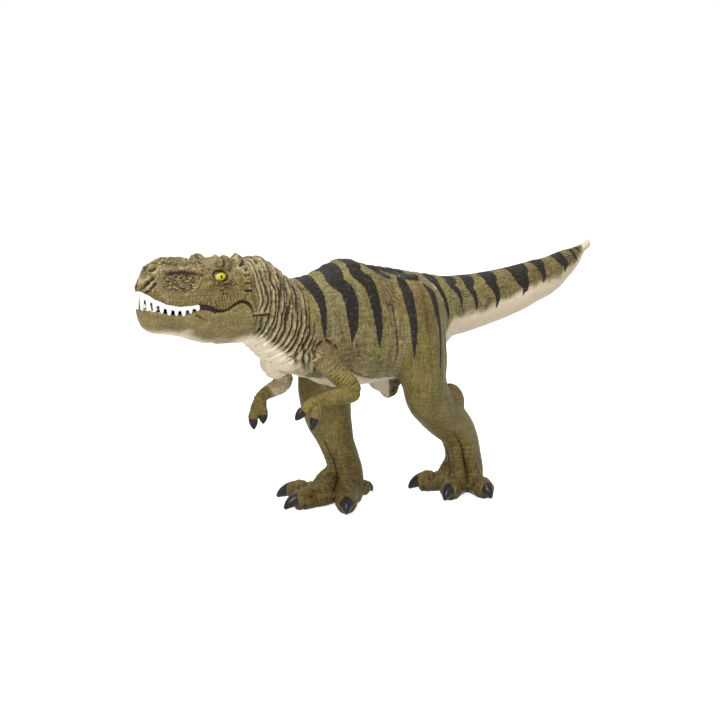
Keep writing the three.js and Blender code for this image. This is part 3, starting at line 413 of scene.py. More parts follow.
def headRelief(points, normals, flat, side):
    look = headLook
    x, y, z = points.T
    ax = np.abs(y)
    mirrored = np.stack([x, -ax, z], -1)
    mirroredNormals = np.stack([normals[:, 0], -np.abs(normals[:, 1]), normals[:, 2]], -1)
    form, fine = np.zeros(len(x)), np.zeros(len(x))

    def offLine(line, push=0):
        return lineDistance(flat, line)[0] - push

    # brow horns and the bumps behind them
    form -= look["crownDip"] * smooth(8.5, 5, ax) * window(x, -124, -119, -102, -98) * smooth(130, 134, z)
    for centre, radii, drop in horns:
        tilt = np.where(side < 0, look["nearTilt"], -drop)
        lifted = mirrored - np.stack([0 * x, 0 * x, tilt * smooth(133, 137, z)], -1)
        form += swell(lifted, mirroredNormals, centre, radii, 0.35) * smooth(127, 131, z)
    # hollow in front of the eye
    turn = math.radians(fenestra["tilt"])
    dx, dz = x - fenestra["centre"][0], z - fenestra["centre"][1]
    u = (dx * math.cos(turn) + dz * math.sin(turn)) / fenestra["half"][0]
    w = (-dx * math.sin(turn) + dz * math.cos(turn)) / fenestra["half"][1]
    q = np.hypot(u, w)
    bowl = smooth(1.04, 0.72, q)
    form -= fenestra["depth"] * bowl
    form += fenestra["rim"] * bell(q - 1.12, 0.16) * (0.55 + 0.45 * smooth(-0.4, 0.6, u - w))
    fine += bowl * (np.minimum(cellGap(points, 1.3, 5), 0.45) * 2.0 - 0.55)
    fine -= 0.3 * bell(q - 0.98, 0.06)
    far = offLine(fenestraTop)
    fine -= 0.6 * bell(far, 0.5)
    form += 0.5 * bell(far - 1.5, 0.8) * smooth(-0.5, 0.5, z - heightOn(fenestraTop, x))
    far = offLine(fenestraFoot)
    form += 0.6 * bell(far, 0.6)
    fine += 0.5 * bell(far, 0.42)
    # rough nasal ridge, and the ridge from it to the brow
    ridge = bell(ax / 8.5, 1) * window(x, -152.5, -147, -123, -117) * smooth(127, 133, z)
    form += ridge * (look["nasal"] * softNoise(points, 4.2, 11) + 0.45)
    fine += ridge * (np.minimum(cellGap(points * [1, 1, 1.5], 1.9, 13), 0.5) * 1.9 - 0.42)
    form += 0.85 * bell(offLine(nasalLine), 1.5) * smooth(3, 6, ax)
    fine -= 0.35 * bell(offLine(nasalSlit), 0.5) * smooth(2, 5, ax)
    # groove from the crown down to the eye
    raised = mirrored + mirroredNormals * form[:, None]
    fine -= look["browGroove"] * bell(lineDistance(raised[:, [0, 2]], browGroove)[0], 0.45) * smooth(5, 8, ax)
    # eye socket: a lens-shaped opening in its lids, and the folds under it
    ex, ez = x - eyePlace[0] - eyeLook["shift"], z - eyePlace[2] + 0.08 * (x - eyePlace[0])
    off = np.hypot(ex, ez * eyeLook["flat"]) - eyeLook["half"]
    front = smooth(7, 9, ax)
    form += front * (look["lid"] * bell(off - 1.3, 0.95) + 0.4 * bell(off - 3, 0.9) * smooth(1, -2, ez))
    form -= front * look["socket"] * smooth(0.2, -0.4, off)
    fine -= front * (0.5 * bell(off - 0.1, 0.35) + 0.5 * bell(off - 2.1, 0.36) * (0.35 + 0.65 * smooth(1, -1, ez)))
    fine += front * 0.22 * bell(off - 1.35, 0.4) * smooth(1, -1, ez)
    for radius, depth in eyeFolds.items():
        arc = bell(off - radius, 0.42) * smooth(-1.2, -3, ez) * window(x, -123, -119.5, -110.5, -107.5)
        fine -= front * depth * arc
        form += front * 0.35 * bell(off - radius - 0.8, 0.5) * smooth(-1.5, -3.5, ez) * smooth(-106, -110, x)
    # spiked rear rim of the skull
    far, share = lineDistance(flat, templeLine)
    beads = look["rearRim"] + 0.55 * ripple(share * 8.5, 1) * smooth(0.9, 0.6, share)
    form += beads * bell(far, 1.5) * smooth(2, 5, ax) * smooth(1.02, 0.8, share)
    form -= 0.7 * smooth(0, 3, x - heightOn(skullRear, -z)) * smooth(9, 3, x + 101) * smooth(112, 118, z)
    for slit in templeSlits:
        far = offLine(slit)
        fine += (0.25 * bell(far - 1.0, 0.4) - look["slits"] * bell(far, 0.42)) * smooth(4, 7, ax)
    # cheek, lips and the lines on them
    form += look["cheek"] * bell(np.hypot(x + 114.5, z - 118.6), 6.8) * front
    far, share = lineDistance(flat, cheekRidge)
    form += 0.55 * bell(far, 1.2) * front * window(share, 0, 0.1, 0.85, 1)
    fine += 0.16 * bell(far, 0.8) * front
    lines = ripple(x + 0.35 * layeredNoise(points, 3, 17, 3) + 0.12 * (z - 118), 1.45)
    fine -= look["lipLines"] * lines**3 * window(z, 112.5, 115, 122, 125) * window(x, -127, -122, -103, -99)
    far = offLine(lipLine)
    above = smooth(-0.2, 0.4, z - heightOn(lipLine, x))
    form += 0.5 * above * bell(far - 2.4, 1.7) * smooth(-118, -124, x)
    form -= look["mouthGap"] * groove(far, 1.1) * smooth(-119, -122, x)
    fine -= 0.3 * lines**2 * above * smooth(4.2, 1.2, far) * smooth(-119, -124, x)
    form -= look["jawGap"] * groove(offLine(rimLine), 1.0) * smooth(-118, -121, x)
    # nostril and the short folds behind it
    far = np.hypot(x + 150.6, z - 131.6)
    form -= look["nostril"] * bell(far, 1.25) * smooth(2, 3.2, ax)
    form += 0.5 * bell(far - 2.1, 0.7) * smooth(1.6, 3, ax)
    for line in snoutLines:
        far = offLine(line)
        fine += 0.25 * bell(far - 0.95, 0.35) - 0.75 * bell(far, 0.42)
    # jaw: crease at the mouth's corner, fine upright lines, the rim of its round heel
    far = offLine(mouthCrease)
    low = smooth(6, 9, ax)
    fine -= look["corner"] * bell(far, 0.62) * low
    fine += 0.2 * bell(far - 1.3, 0.5) * low * smooth(-120, -117, x)
    form += 0.4 * bell(far - 1.6, 1) * low
    far, share = lineDistance(flat, jawScar)
    fine += 0.3 * bell(np.hypot(x + 123.8, z - 108.6), 0.9) * low
    fine -= 0.6 * bell(far, 0.75 - 0.3 * share) * (1 - 0.5 * share) * low
    ridge = z - 110.5 + 0.6 * bell(x + 123, 3)
    form += 0.35 * window(ridge, -1.2, 0.6, 1, 4) * window(x, -128, -124, -103, -100)
    jaw = window(z, 97, 100, 109.5, 112) * window(x, -127, -122, -103, -101)
    fine -= 0.26 * ripple(x + 0.3 * layeredNoise(points, 4, 19, 3), 1.2) ** 3 * jaw
    # creases all over
    upper = smooth(129, 133, z) * (1 - bowl) * smooth(4, 6.5, np.abs(x + 114.5))
    narrow = points * [0.5, 1, 1.3]
    bumps = 0.3 * bell(layeredNoise(narrow, 2.2, 27) - 0.3, 0.14)
    fine += upper * (bumps - 0.35 * bell(layeredNoise(narrow, 2.4, 29), 0.07))
    fine += 0.16 * (0.4 - np.abs(layeredNoise(points * [1, 1, 0.7], 2.0, 23))) * (1 - bowl) * smooth(109, 114, z)
    crown = smooth(-96, -102, x)
    return form * crown, np.minimum(fine, 0.34) * crown


def bodyRelief(points, normals):
    x, y, z = points.T
    flat = points[:, [0, 2]]
    y0 = rowAt(x)[0]
    off = np.abs(y - y0)
    form, fine = np.zeros(len(x)), np.zeros(len(x))
    # rings round the neck
    leaning = x + 30.9 * (np.clip(122 - z, 0, 60) / 67) ** 1.6
    wander = neckLook["wander"] * layeredNoise(points, 9, 3)
    rings = leaning + wander + 0.8 * layeredNoise(points * [1, 0.3, 0.3], 3, 6)
    crossing = leaning - 0.12 * z + 1.4 * layeredNoise(points, 7, 8)
    zone = smooth(-101, -95, x) * smooth(-59, -70, x + 0.1 * (z - 100)) * smooth(0.5, 3, off)
    quiet = 1 - 0.9 * smooth(92, 85, z) * smooth(-76, -71, x)
    broken = quiet * smooth(-0.75, 0.0, layeredNoise(points * [0.7, 1, 0.35], 4.5, 7))
    branched = quiet * smooth(-0.1, 0.35, layeredNoise(points * [0.7, 1, 0.4], 5, 12))
    main = (1 - ripple(rings, neckLook["spacing"])) ** 2.8 * broken
    branches = (1 - ripple(crossing, neckLook["branch"])) ** 3.5 * branched
    low = 1 + 0.3 * smooth(104, 92, z) * smooth(-62, -72, x)
    fine -= neckLook["depth"] * low * zone * (np.maximum(main, branches) - 0.26)
    far = lineDistance(flat, neckSlit)[0]
    fine = fine * (1 - bell(far, 1.6)) - 0.8 * bell(far, 0.45)
    fine += 0.4 * bell(far - 1.2, 0.5) * smooth(109.8, 110.6, z) * smooth(-87, -92, x)
    folds = smooth(-94, -90, x) * smooth(-61, -70.2, x) * wave(leaning, neckLook["foldSpacing"])
    form += neckLook["foldHeight"] * folds
    # shoulder: a disc with dark slits round it, and bold creases before it
    dx, dz = x - shoulderLook["centre"][0], z - shoulderLook["centre"][1]
    r, rim = np.hypot(dx, dz * 0.95), shoulderLook["radius"]
    flank = smooth(3, 6, off)
    form += 0.9 * bell(r / 9, 1) * flank
    dotted = 0.55 + 0.45 * np.cos(9 * np.arctan2(dz, dx) + 4 * layeredNoise(points, 6, 9))
    ahead = dx / (r + 0.1)
    fine -= shoulderLook["depth"] * flank * bell(r - rim, 0.55) * dotted * smooth(-0.9, -0.3, ahead + 0.6 * (dz > 0))
    fine -= 0.5 * flank * bell(r - 0.62 * rim, 0.35) * dotted * smooth(0.2, 0.8, ahead)
    fine += 0.16 * flank * smooth(rim, 3, r) * layeredNoise(points, 2.2, 10)
    for line, depth, width in shoulderCreases:
        far, share = lineDistance(flat, line)
        ends = flank * window(share, 0, 0.2, 0.75, 1)
        fine += (0.26 * bell(far - 2.4 * width, 0.45) - depth * bell(far, width)) * ends
        form += 0.4 * bell(far - 2.4 * width, 1.0) * ends
    # the far shoulder stands out before the chest
    far = swell(points, normals, farShoulder["centre"], farShoulder["radii"], 1.6)
    form += far * smooth(0, 4, y) * window(x, -94, -86, -56, -50)
    # crest of the hips, with a hollow over it
    far, share = lineDistance(flat, crestLine)
    over = smooth(-1, 1, np.where(x < 17, z - heightOn(crestLine[:6], x), x - 18.5))
    zone = window(share, 0, 0.12, 0.8, 1) * flank
    form += (hipLook["crest"] * bell(far, 1.7) - hipLook["hollow"] * bell(far - 4, 3) * over) * zone
    fine += (0.08 + 0.16 * smooth(-12, -4, x)) * bell(far, 1.1) * zone
    for line, depth, width in flankCreases:
        far, share = lineDistance(flat, line)
        fine -= depth * bell(far, width * 0.55) * window(share, 0, 0.15, 0.85, 1) * flank
        form += 0.5 * depth * bell(far - 1.8, 1.3) * flank
    folds = ripple(x + 0.22 * (z - 112) + 0.9 * layeredNoise(points, 5, 47), hipLook["foldSpacing"])
    hip = bell((x + 14) / 7, 1) * bell((z - 114) / 5.5, 1) * smooth(6, 9, off)
    fine += hip * (0.2 * folds**2 - hipLook["folds"] * (1 - folds) ** 3)
    # loose upright folds and a fine crossing of creases on the flanks
    look = flankLook
    drift = x + 2.5 * layeredNoise(points, 14, 31) + 0.05 * (z - 95)
    form += look["folds"] * window(x, -68, -60, 25, 40) * wave(drift, look["foldSpacing"])
    upright = look["upright"] * bell(layeredNoise(points * [1, 1, 0.22], 1.9, 33), 0.09)
    level = look["level"] * bell(layeredNoise(points * [0.25, 0.5, 1], 1.9, 35), 0.08)
    rest = smooth(-97, -90, x)
    fine -= rest * (upright + level - 0.03)
    form += look["uneven"] * rest * layeredNoise(points, 16, 37)
    headForm, headFine = headRelief(points, normals, flat, np.where(y < y0, -1.0, 1.0))
    # the cream is nearly smooth
    pale = paleEdge(points)
    belly = smooth(-0.5, 4, pale) * (0.85 + 0.15 * smooth(-60, -50, x))
    chest = 0.22 * smooth(0, 5, pale) * window(x, -100, -94, -66, -60)
    lines = chest * bell(layeredNoise(points * [1.6, 1, 0.7], 6, 43), 0.05)
    return form + headForm, np.minimum(fine + headFine, 0.3) * (1 - 0.85 * belly) - lines


# Paint: stripes as lines in the side view with a width at each point
stripeLines = [
    [[-58.5, 127, 10], [-58.6, 122, 8], [-57.2, 116.5, 6.6], [-57.2, 110, 4.2], [-58.1, 104.4, 3.1],
        [-58.7, 98.9, 2.1], [-58.9, 93.6, 0.2]],
    [[-42.5, 133, 9.5], [-43.4, 127, 9], [-45, 122.2, 8.2], [-41, 117.8, 8], [-40.4, 112.8, 8],
        [-41.4, 105.2, 6.8], [-41.8, 99.7, 5.4], [-43.4, 90.5, 0.2]],
    [[-29.5, 134, 8.5], [-30.8, 129.5, 8], [-32, 125, 7], [-26.4, 120, 8.2], [-26.1, 113.7, 7], [-26.1, 106, 6],
        [-26, 97, 4.2], [-26.4, 86.6, 0.2]], [[-17.5, 131, 8], [-15, 126, 7], [-11.5, 122.3, 3.4]],
    [[-7.5, 128, 9], [-3, 124, 8], [3, 121.6, 5.4]],
    [[-5.6, 120.4, 4], [-5.7, 118, 5], [-5.9, 113.7, 5.8], [-6.4, 108.9, 5.4], [-6.3, 101.1, 4.2], [-6, 94.5, 3.6],
        [-5.7, 87.8, 2.4], [-5.6, 79.6, 0.2]],
    [[6.2, 117, 1.6], [7.7, 115.2, 3.4], [9.8, 111.7, 5.2], [10.1, 106, 4.4], [9.8, 101.1, 3.2], [10.3, 96, 2],
        [10.3, 89.4, 1.3], [9.7, 82.1, 1.1], [9.2, 74.8, 0.9], [8.9, 67, 0.2]],
    [[23.4, 124, 9], [22.9, 119, 8], [21.7, 116.3, 5.2], [22.2, 112.9, 4.6], [23.3, 108.9, 3.8], [23.6, 104, 3.2],
        [24.3, 99.5, 2], [24.8, 96, 0.2]],
    [[38.5, 120, 10], [37, 116.5, 8.2], [33.8, 113.9, 5.8], [36.8, 110.2, 4.1], [37.5, 105.7, 2.6],
        [37.6, 99.8, 0.2]],
    [[51, 120, 9], [50, 116, 7.6], [47.1, 111.7, 5.3], [48.6, 108, 3.8], [49.3, 102, 2.4], [49.5, 97, 0.2]],
    [[66, 120, 11], [65.4, 116, 10], [64.3, 112, 7.4], [66.1, 107.9, 4.9], [66.5, 103.3, 3.5], [64.8, 97.4, 0.2]],
    [[87.5, 121, 16], [87.3, 117.6, 14], [86.8, 114.2, 11], [88.2, 109.6, 8.2], [88.4, 106.8, 4.6],
        [86.2, 103.4, 0.2]],
    [[104.6, 123, 10], [104.7, 119.3, 8.8], [104.6, 116.4, 5.8], [105, 112.6, 4.2], [103.6, 108.4, 0.2]],
    [[123.4, 126, 10], [124, 121.8, 9], [125.8, 119.6, 7.4], [127.8, 116.6, 6.2], [126.8, 111.6, 0.2]],
    [[137, 127, 3.4], [138.3, 123, 3.2], [139.8, 119.6, 2.8], [142.4, 116.6, 0.4]],
    [[143.6, 127.5, 2.6], [144.6, 123.4, 2.2], [147.4, 120.6, 0.4]],
]
paleLine = [
    [-156, 103.6], [-146.9, 106.3], [-139.9, 105.8], [-132.2, 103.6], [-125.8, 100.7], [-118.3, 97.6], [-110, 97.2],
    [-104.5, 100.4], [-98, 101], [-94, 99.2], [-90.2, 98], [-85, 95.1], [-80.5, 92.1], [-76.4, 87.4], [-72, 81.6],
    [-66.6, 76], [-60, 73.2], [-54.7, 72.6], [-46, 75], [-41.1, 75.4], [-35.6, 72.6], [-26.7, 69.8], [-17.9, 69],
    [-8, 68.8], [6, 74], [20, 88], [30, 96.2], [44.2, 97.6], [52.7, 98.1], [63.8, 100.3], [73.6, 102.6], [85, 105.2],
    [97.5, 107], [107.4, 108.4], [120.4, 110.4], [130.2, 112.4], [138.5, 115.4], [145, 119.4], [149, 121.6],
    [151.6, 128], [160, 136],
]
jawCorner = [[-113.8, 114.3], [-110.6, 116.2], [-107.2, 117.8], [-102, 115], [-100, 111]]
# Airbrushed base colours, as sRGB; throatLit is the cream painted lighter on the chest, as painted light
coatColours = {
    "flank": (128, 118, 64), "side": (126, 114, 76), "back": (116, 100, 58), "neck": (126, 113, 76),
    "crown": (130, 117, 78), "snout": (122, 106, 62), "cheek": (118, 100, 48), "jaw": (140, 126, 80),
    "tail": (124, 108, 58), "thigh": (114, 102, 44), "shin": (116, 103, 46), "foot": (90, 72, 10),
    "shoulder": (106, 84, 44), "arm": (126, 110, 48), "pale": (228, 212, 182), "throatLit": (252, 238, 210),
    "bulge": (214, 202, 172), "ochre": (94, 71, 8), "low": (142, 130, 88), "armPale": (238, 222, 190),
    "bulgeRear": (96, 90, 66),
}
noPaint = -9.0  # an edge so far off that nothing is painted


def stripeEdge(points):
    best = np.full(len(points), noPaint)
    for line in stripeLines:
        line = np.array(line)
        far, share = lineDistance(points[:, [0, 2]], line[:, :2])
        runs = np.concatenate([[0], np.cumsum(np.hypot(*np.diff(line[:, :2], axis=0).T))])
        best = np.maximum(best, np.interp(share, runs / runs[-1], line[:, 2]) / 2 - far)
    return best


def paleEdge(points):
    x, y, z = points.T
    line = np.array(paleLine)
    # the bulge's rear is olive
    behind = 24 * smooth(-6, -2, x + 0.25 * (z - 60)) * smooth(71, 68, z) * smooth(16, 12, x)
    return np.interp(x, line[:, 0], line[:, 1]) - z - behind


def linear(tone):
    value = np.array(tone, float) / 255
    return np.where(value <= 0.04045, value / 12.92, ((value + 0.055) / 1.055) ** 2.4)


def blend(base, name, amount):
    amount = np.clip(amount, 0, 1)[:, None]
    return base * (1 - amount) + linear(coatColours[name]) * amount


def coatOver(points, normals, part):
    x, y, z = points.T
    pale = paleEdge(points)
    crown = smooth(-95, -102, x)
    blotch = 0.5 + 0.5 * layeredNoise(points, 13, 41, 3)
    ochre = smooth(0.35, 0.6, 0.5 + 0.5 * layeredNoise(points, 9, 45))
    hip = np.maximum(bell((x + 14) / 9, 1) * bell((z - 112) / 9, 1), bell((x - 2) / 5, 1) * bell((z - 103) / 16, 1))
    layers = [
        ("side", smooth(0.35, 0.75, blotch)),
        ("tail", smooth(30, 60, x) * 0.85),
        ("neck", smooth(-60, -76, x)),
        ("back", smooth(0.75, 1.0, normals[:, 2]) * smooth(-70, -60, x) * 0.6),
        ("cheek", crown),
        ("crown", crown * smooth(128, 134, z) * smooth(-126, -118, x)),
        ("snout", crown * smooth(-121, -130, x) * smooth(112, 116, z)),
        ("jaw", smooth(-98, -101, x) * smooth(0.6, -0.6, z - heightOn(rimLine + jawCorner, x))),
        ("ochre", 0.95 * hip),
        ("ochre", 0.75 * bell((x + 44) / 9, 1) * bell((z - 86) / 8, 1)),
        ("ochre", 0.85 * ochre * smooth(70, 115, x) * smooth(-1, -4, pale)),
    ]
    if part == "body":
        scar = np.hypot((x + 127.6 - 1.2 * (110.8 - z)) / 3.4, (z - 110.6) / 1.2)
        layers += [
            ("shoulder", 0.75 * bell(scar, 1)),
            ("low", 0.7 * smooth(86, 76, z) * window(x, -50, -36, 4, 12) * smooth(0, -3, pale)),
            ("bulgeRear", window(x, -7, -5, 12, 16) * smooth(70.5, 68, z)),
            ("pale", 0.5 * smooth(11, 0, -pale) * window(x, -99, -92, -66, -58)),
            ("shoulder", smooth(9.5, 5.5, np.hypot(x + 58.6, z - 87)) * 0.9),
        ]
    if part == "leg":
        inward = smooth(2, 6, y) * smooth(60, 68, z) * smooth(0.4, -0.3, normals[:, 1])
        layers += [
            ("thigh", smooth(95, 80, z)),
            ("ochre", 0.7 * bell(np.hypot(x - 27, z - 52) / 9, 1) * smooth(0, -6, y)),
            ("shin", smooth(55, 40, z)),
            ("foot", smooth(30, 12, z)),
            ("armPale", 0.8 * inward * smooth(-46, -38, x)),
        ]
    if part == "arm":
        inward = smooth(2, 6, y) * smooth(0.55, 0.05, normals[:, 1])
        layers += [
            ("shoulder", smooth(78, 86, z) * 0.8),
            ("arm", smooth(82, 74, z)),
            ("armPale", inward * smooth(-66, -62, x + 0.5 * (z - 62))),
        ]
    coat = np.tile(linear(coatColours["flank"]), (len(x), 1))
    for name, amount in layers:
        coat = blend(coat, name, amount)
    return coat


def creamOver(points):
    x, y, z = points.T
    cream = np.tile(linear(coatColours["pale"]), (len(x), 1))
    # painted light: the chest's cream is a lighter copy of the belly's cream, standing in for light falling on the
    # chest
    cream = blend(cream, "throatLit", window(x, -104, -97, -60, -46))
    return blend(cream, "bulge", smooth(70, 65, z) * window(x, -16, -12, 12, 16))


# Limbs: tubes joined, remeshed in small voxels and smoothed

def limbSkin(name, rows, sides=28, steps=6, domes=(0.5, 0.5), material=None):
    path = smoothRows(rows, steps)
    at, deep, across = path[:, :3], path[:, 3], path[:, 4]
    along = np.vstack([at[1:], at[-1:]]) - np.vstack([at[:1], at[:-1]])
    along /= np.linalg.norm(along, axis=1)[:, None]
    sideways = np.array([0, 1, 0]) - along[:, 1:2] * along
    sideways /= np.linalg.norm(sideways, axis=1)[:, None]
    upright = np.cross(sideways, along)
    turn = np.linspace(0, 2 * math.pi, sides, endpoint=False)

    def ring(k, size, push):
        high, wide = np.cos(turn) * deep[k] * size, np.sin(turn) * across[k] * size
        return at[k] + along[k] * push + (upright[k] * high[:, None] + sideways[k] * wide[:, None])

    caps = ((0.45, 0.9), (0.8, 0.6))
    rings = [ring(0, s, -domes[0] * deep[0] * c) for s, c in caps]
    rings += [ring(k, 1, 0) for k in range(len(path))]
    rings += [ring(-1, s, domes[1] * deep[-1] * c) for s, c in caps[::-1]]
    poles = at[0] - along[0] * domes[0] * deep[0], at[-1] + along[-1] * domes[1] * deep[-1]
    return closedSkin(name, np.array(rings), *poles, material)


def ballSkin(name, centre, radii, sides=28):
    turns = np.linspace(0, math.pi, sides // 2 + 1)[1:-1]
    around = np.linspace(0, 2 * math.pi, sides, endpoint=False)
    rings = [[[math.sin(t) * math.cos(p), math.sin(t) * math.sin(p), math.cos(t)] for p in around] for t in turns]
    pole = np.array([0, 0, radii[2]])
    return closedSkin(name, np.array(rings) * radii + centre, pole + centre, -pole + centre)


def weldParts(name, parts, voxel, smoothing):
    thing = joined(name, parts)
    remesh = thing.modifiers.new("voxels", "REMESH")
    remesh.mode, remesh.voxel_size, remesh.adaptivity = "VOXEL", voxel * mm, 0
    relax = thing.modifiers.new("relax", "SMOOTH")
    relax.factor, relax.iterations = 0.5, smoothing
    return applyModifiers(thing)


legValues = {
    "hipX": 1.964, "hipOut": 17, "height": 99.97, "toeRadius": 5.7, "spurSize": 0.72, "spurLift": 0.5, "voxel": 0.5,
}
# Rows of a leg: back, out, up, depth and breadth, as shares of the height
leftLegRows = [
    [-0.01, -0.03, 1.16, 0.09, 0.05], [0, -0.005, 1.1, 0.13, 0.08], [0.01, 0.015, 1, 0.145, 0.1],
    [0.03, 0.025, 0.88, 0.14, 0.11], [0.04, 0.035, 0.76, 0.135, 0.11], [0.045, 0.04, 0.66, 0.125, 0.105],
    [0.07, 0.04, 0.575, 0.125, 0.1], [0.14, 0.025, 0.5, 0.12, 0.095], [0.23, 0.01, 0.425, 0.115, 0.09],
    [0.31, -0.01, 0.36, 0.105, 0.085], [0.365, -0.025, 0.28, 0.1, 0.083], [0.389, -0.03, 0.2, 0.1, 0.082],
    [0.4, -0.03, 0.12, 0.103, 0.086], [0.403, -0.03, 0.045, 0.1, 0.09],
]
rightLegRows = [
    [-0.01, -0.04, 1.14, 0.09, 0.05], [-0.03, -0.01, 1.07, 0.135, 0.08], [-0.1, 0.005, 0.96, 0.165, 0.1],
    [-0.19, 0.005, 0.85, 0.18, 0.105], [-0.28, -0.01, 0.75, 0.182, 0.105], [-0.335, -0.025, 0.66, 0.17, 0.105],
    [-0.35, -0.04, 0.57, 0.155, 0.103], [-0.34, -0.05, 0.47, 0.135, 0.1], [-0.32, -0.065, 0.385, 0.113, 0.094],
    [-0.3, -0.078, 0.31, 0.095, 0.087], [-0.275, -0.09, 0.24, 0.089, 0.085], [-0.266, -0.1, 0.17, 0.096, 0.088],
    [-0.27, -0.11, 0.1, 0.1, 0.09], [-0.276, -0.12, 0.045, 0.1, 0.09],
]
# Rows of a toe and a claw: along, rise and size. Rows of a tendon: height, out and size
toeShares = [
    [-0.1, 1.6, 1.25], [0.15, 1.4, 1.2], [0.4, 1.05, 1.1], [0.62, 0.88, 0.96], [0.8, 0.9, 1.04], [0.9, 0.88, 0.84],
]
clawShares = [[0.78, 1.05, 0.62], [0.9, 1.06, 0.68], [0.98, 0.92, 0.58], [1.06, 0.66, 0.42], [1.12, 0.38, 0.2]]
tendonShares = [[18, 0.98, 3.3], [26, 0.9, 3], [34, 0.8, 2.6], [42, 0.6, 2]]
toeRoot = [[0.62, 0.95, 0.64], [0.46, 1.4, 0.66], [0.38, 2.1, 0.62]]
calfBall = {"centre": [26.8, -17.5, 50.5], "radii": [9.2, 7.4, 11.2]}
# Toes: turn outward in degrees, length as a share of the height, and how far its tendon stands out
legSides = {
    "left": {"side": -1, "rows": leftLegRows, "spur": [-150, 0.12],
             "toes": [[-33, 0.275, 0.74], [29, 0.285, 0.98], [78, 0.248, 0.98]]},
    "right": {"side": 1, "rows": rightLegRows, "spur": [-172, 0.145],
              "toes": [[46, 0.33, 0.68], [4, 0.34, 0.7], [-53, 0.285, 0.92]]},
}


def toeRows(shares, foot, side, turn, length, size=1, lift=0):
    angle, reach, radius = math.radians(turn), length * legValues["height"], legValues["toeRadius"]
    x, y = -math.cos(angle) * reach, side * math.sin(angle) * reach
    return [[foot[0] + x * s, foot[1] + y * s, rise * radius * size + lift * radius, *[wide * radius * size] * 2]
            for s, rise, wide in shares]


def tendonRows(rows, side, turn, length, stand):
    table = np.array(rows)[::-1]
    made = toeRows(toeRoot, rows[-1], side, turn, length)
    for height, out, size in tendonShares:
        x, y, deep, across = (np.interp(height, table[:, 2], table[:, k]) for k in (0, 1, 3, 4))
        angle, push = math.radians(turn), out * stand
        spot = [x - math.cos(angle) * deep * push, y + side * math.sin(angle) * across * push]
        made.append([*spot, height, size, size])
    return made


def makeLeg(name):
    values = legSides[name]
    side, height = values["side"], legValues["height"]
    hipX, hipOut = legValues["hipX"], legValues["hipOut"]
    rows = [[hipX + back * height, side * (hipOut + out * height), *(share * height for share in shares)]
            for back, out, *shares in values["rows"]]
    parts = [limbSkin("shank", rows, 40, 6, (0.5, 0.7))]
    claws, toes, tendons = [], [], []
    for turn, length, stand in values["toes"]:
        toes.append(toeRows(toeShares, rows[-1], side, turn, length))
        claws.append(toeRows(clawShares, rows[-1], side, turn, length))
        tendons.append(tendonRows(rows, side, turn, length, stand))
        parts.append(limbSkin("toe", toes[-1], 28, 5, (0.3, 0.45)))
        parts.append(limbSkin("tendon", tendons[-1], 16, 5, (0.4, 0.4)))
    spur = [rows[-1], side, *values["spur"], legValues["spurSize"], legValues["spurLift"]]
    parts.append(limbSkin("spur", toeRows(toeShares, *spur), 20, 4, (0.3, 0.4)))
    claws.append(toeRows(clawShares, *spur))
    if name == "left":
        parts.append(ballSkin("calf", np.array(calfBall["centre"]), np.array(calfBall["radii"])))
    leg = weldParts(f"{name}_leg_skin", parts, legValues["voxel"], 5)
    points, normals = pointsOf(leg), normalsOf(leg)
    points[:, 2] = np.maximum(points[:, 2], 0)  # the soles are flat
    form, fine = legRelief(points, normals, toes, claws, tendons)
    points += normals * (form + fine)[:, None]
    points[:, 2] = np.maximum(points[:, 2], 0)
    setPoints(leg, points)
    setMask(leg, "fine", fine)
    return leg, claws


legLook = {
    "uneven": 0.3, "folds": 0.28, "foldSpacing": 5.6, "scutes": 0.36, "scuteSpacing": 2.5, "ridge": 0.5,
    "groove": 0.5, "calfCrease": 0.4, "toeScutes": 0.3, "cuticle": 0.7,
}
armLook = {"rings": 0.5, "ringSpacing": 1.7, "uneven": 0.25, "cuticle": 0.25}


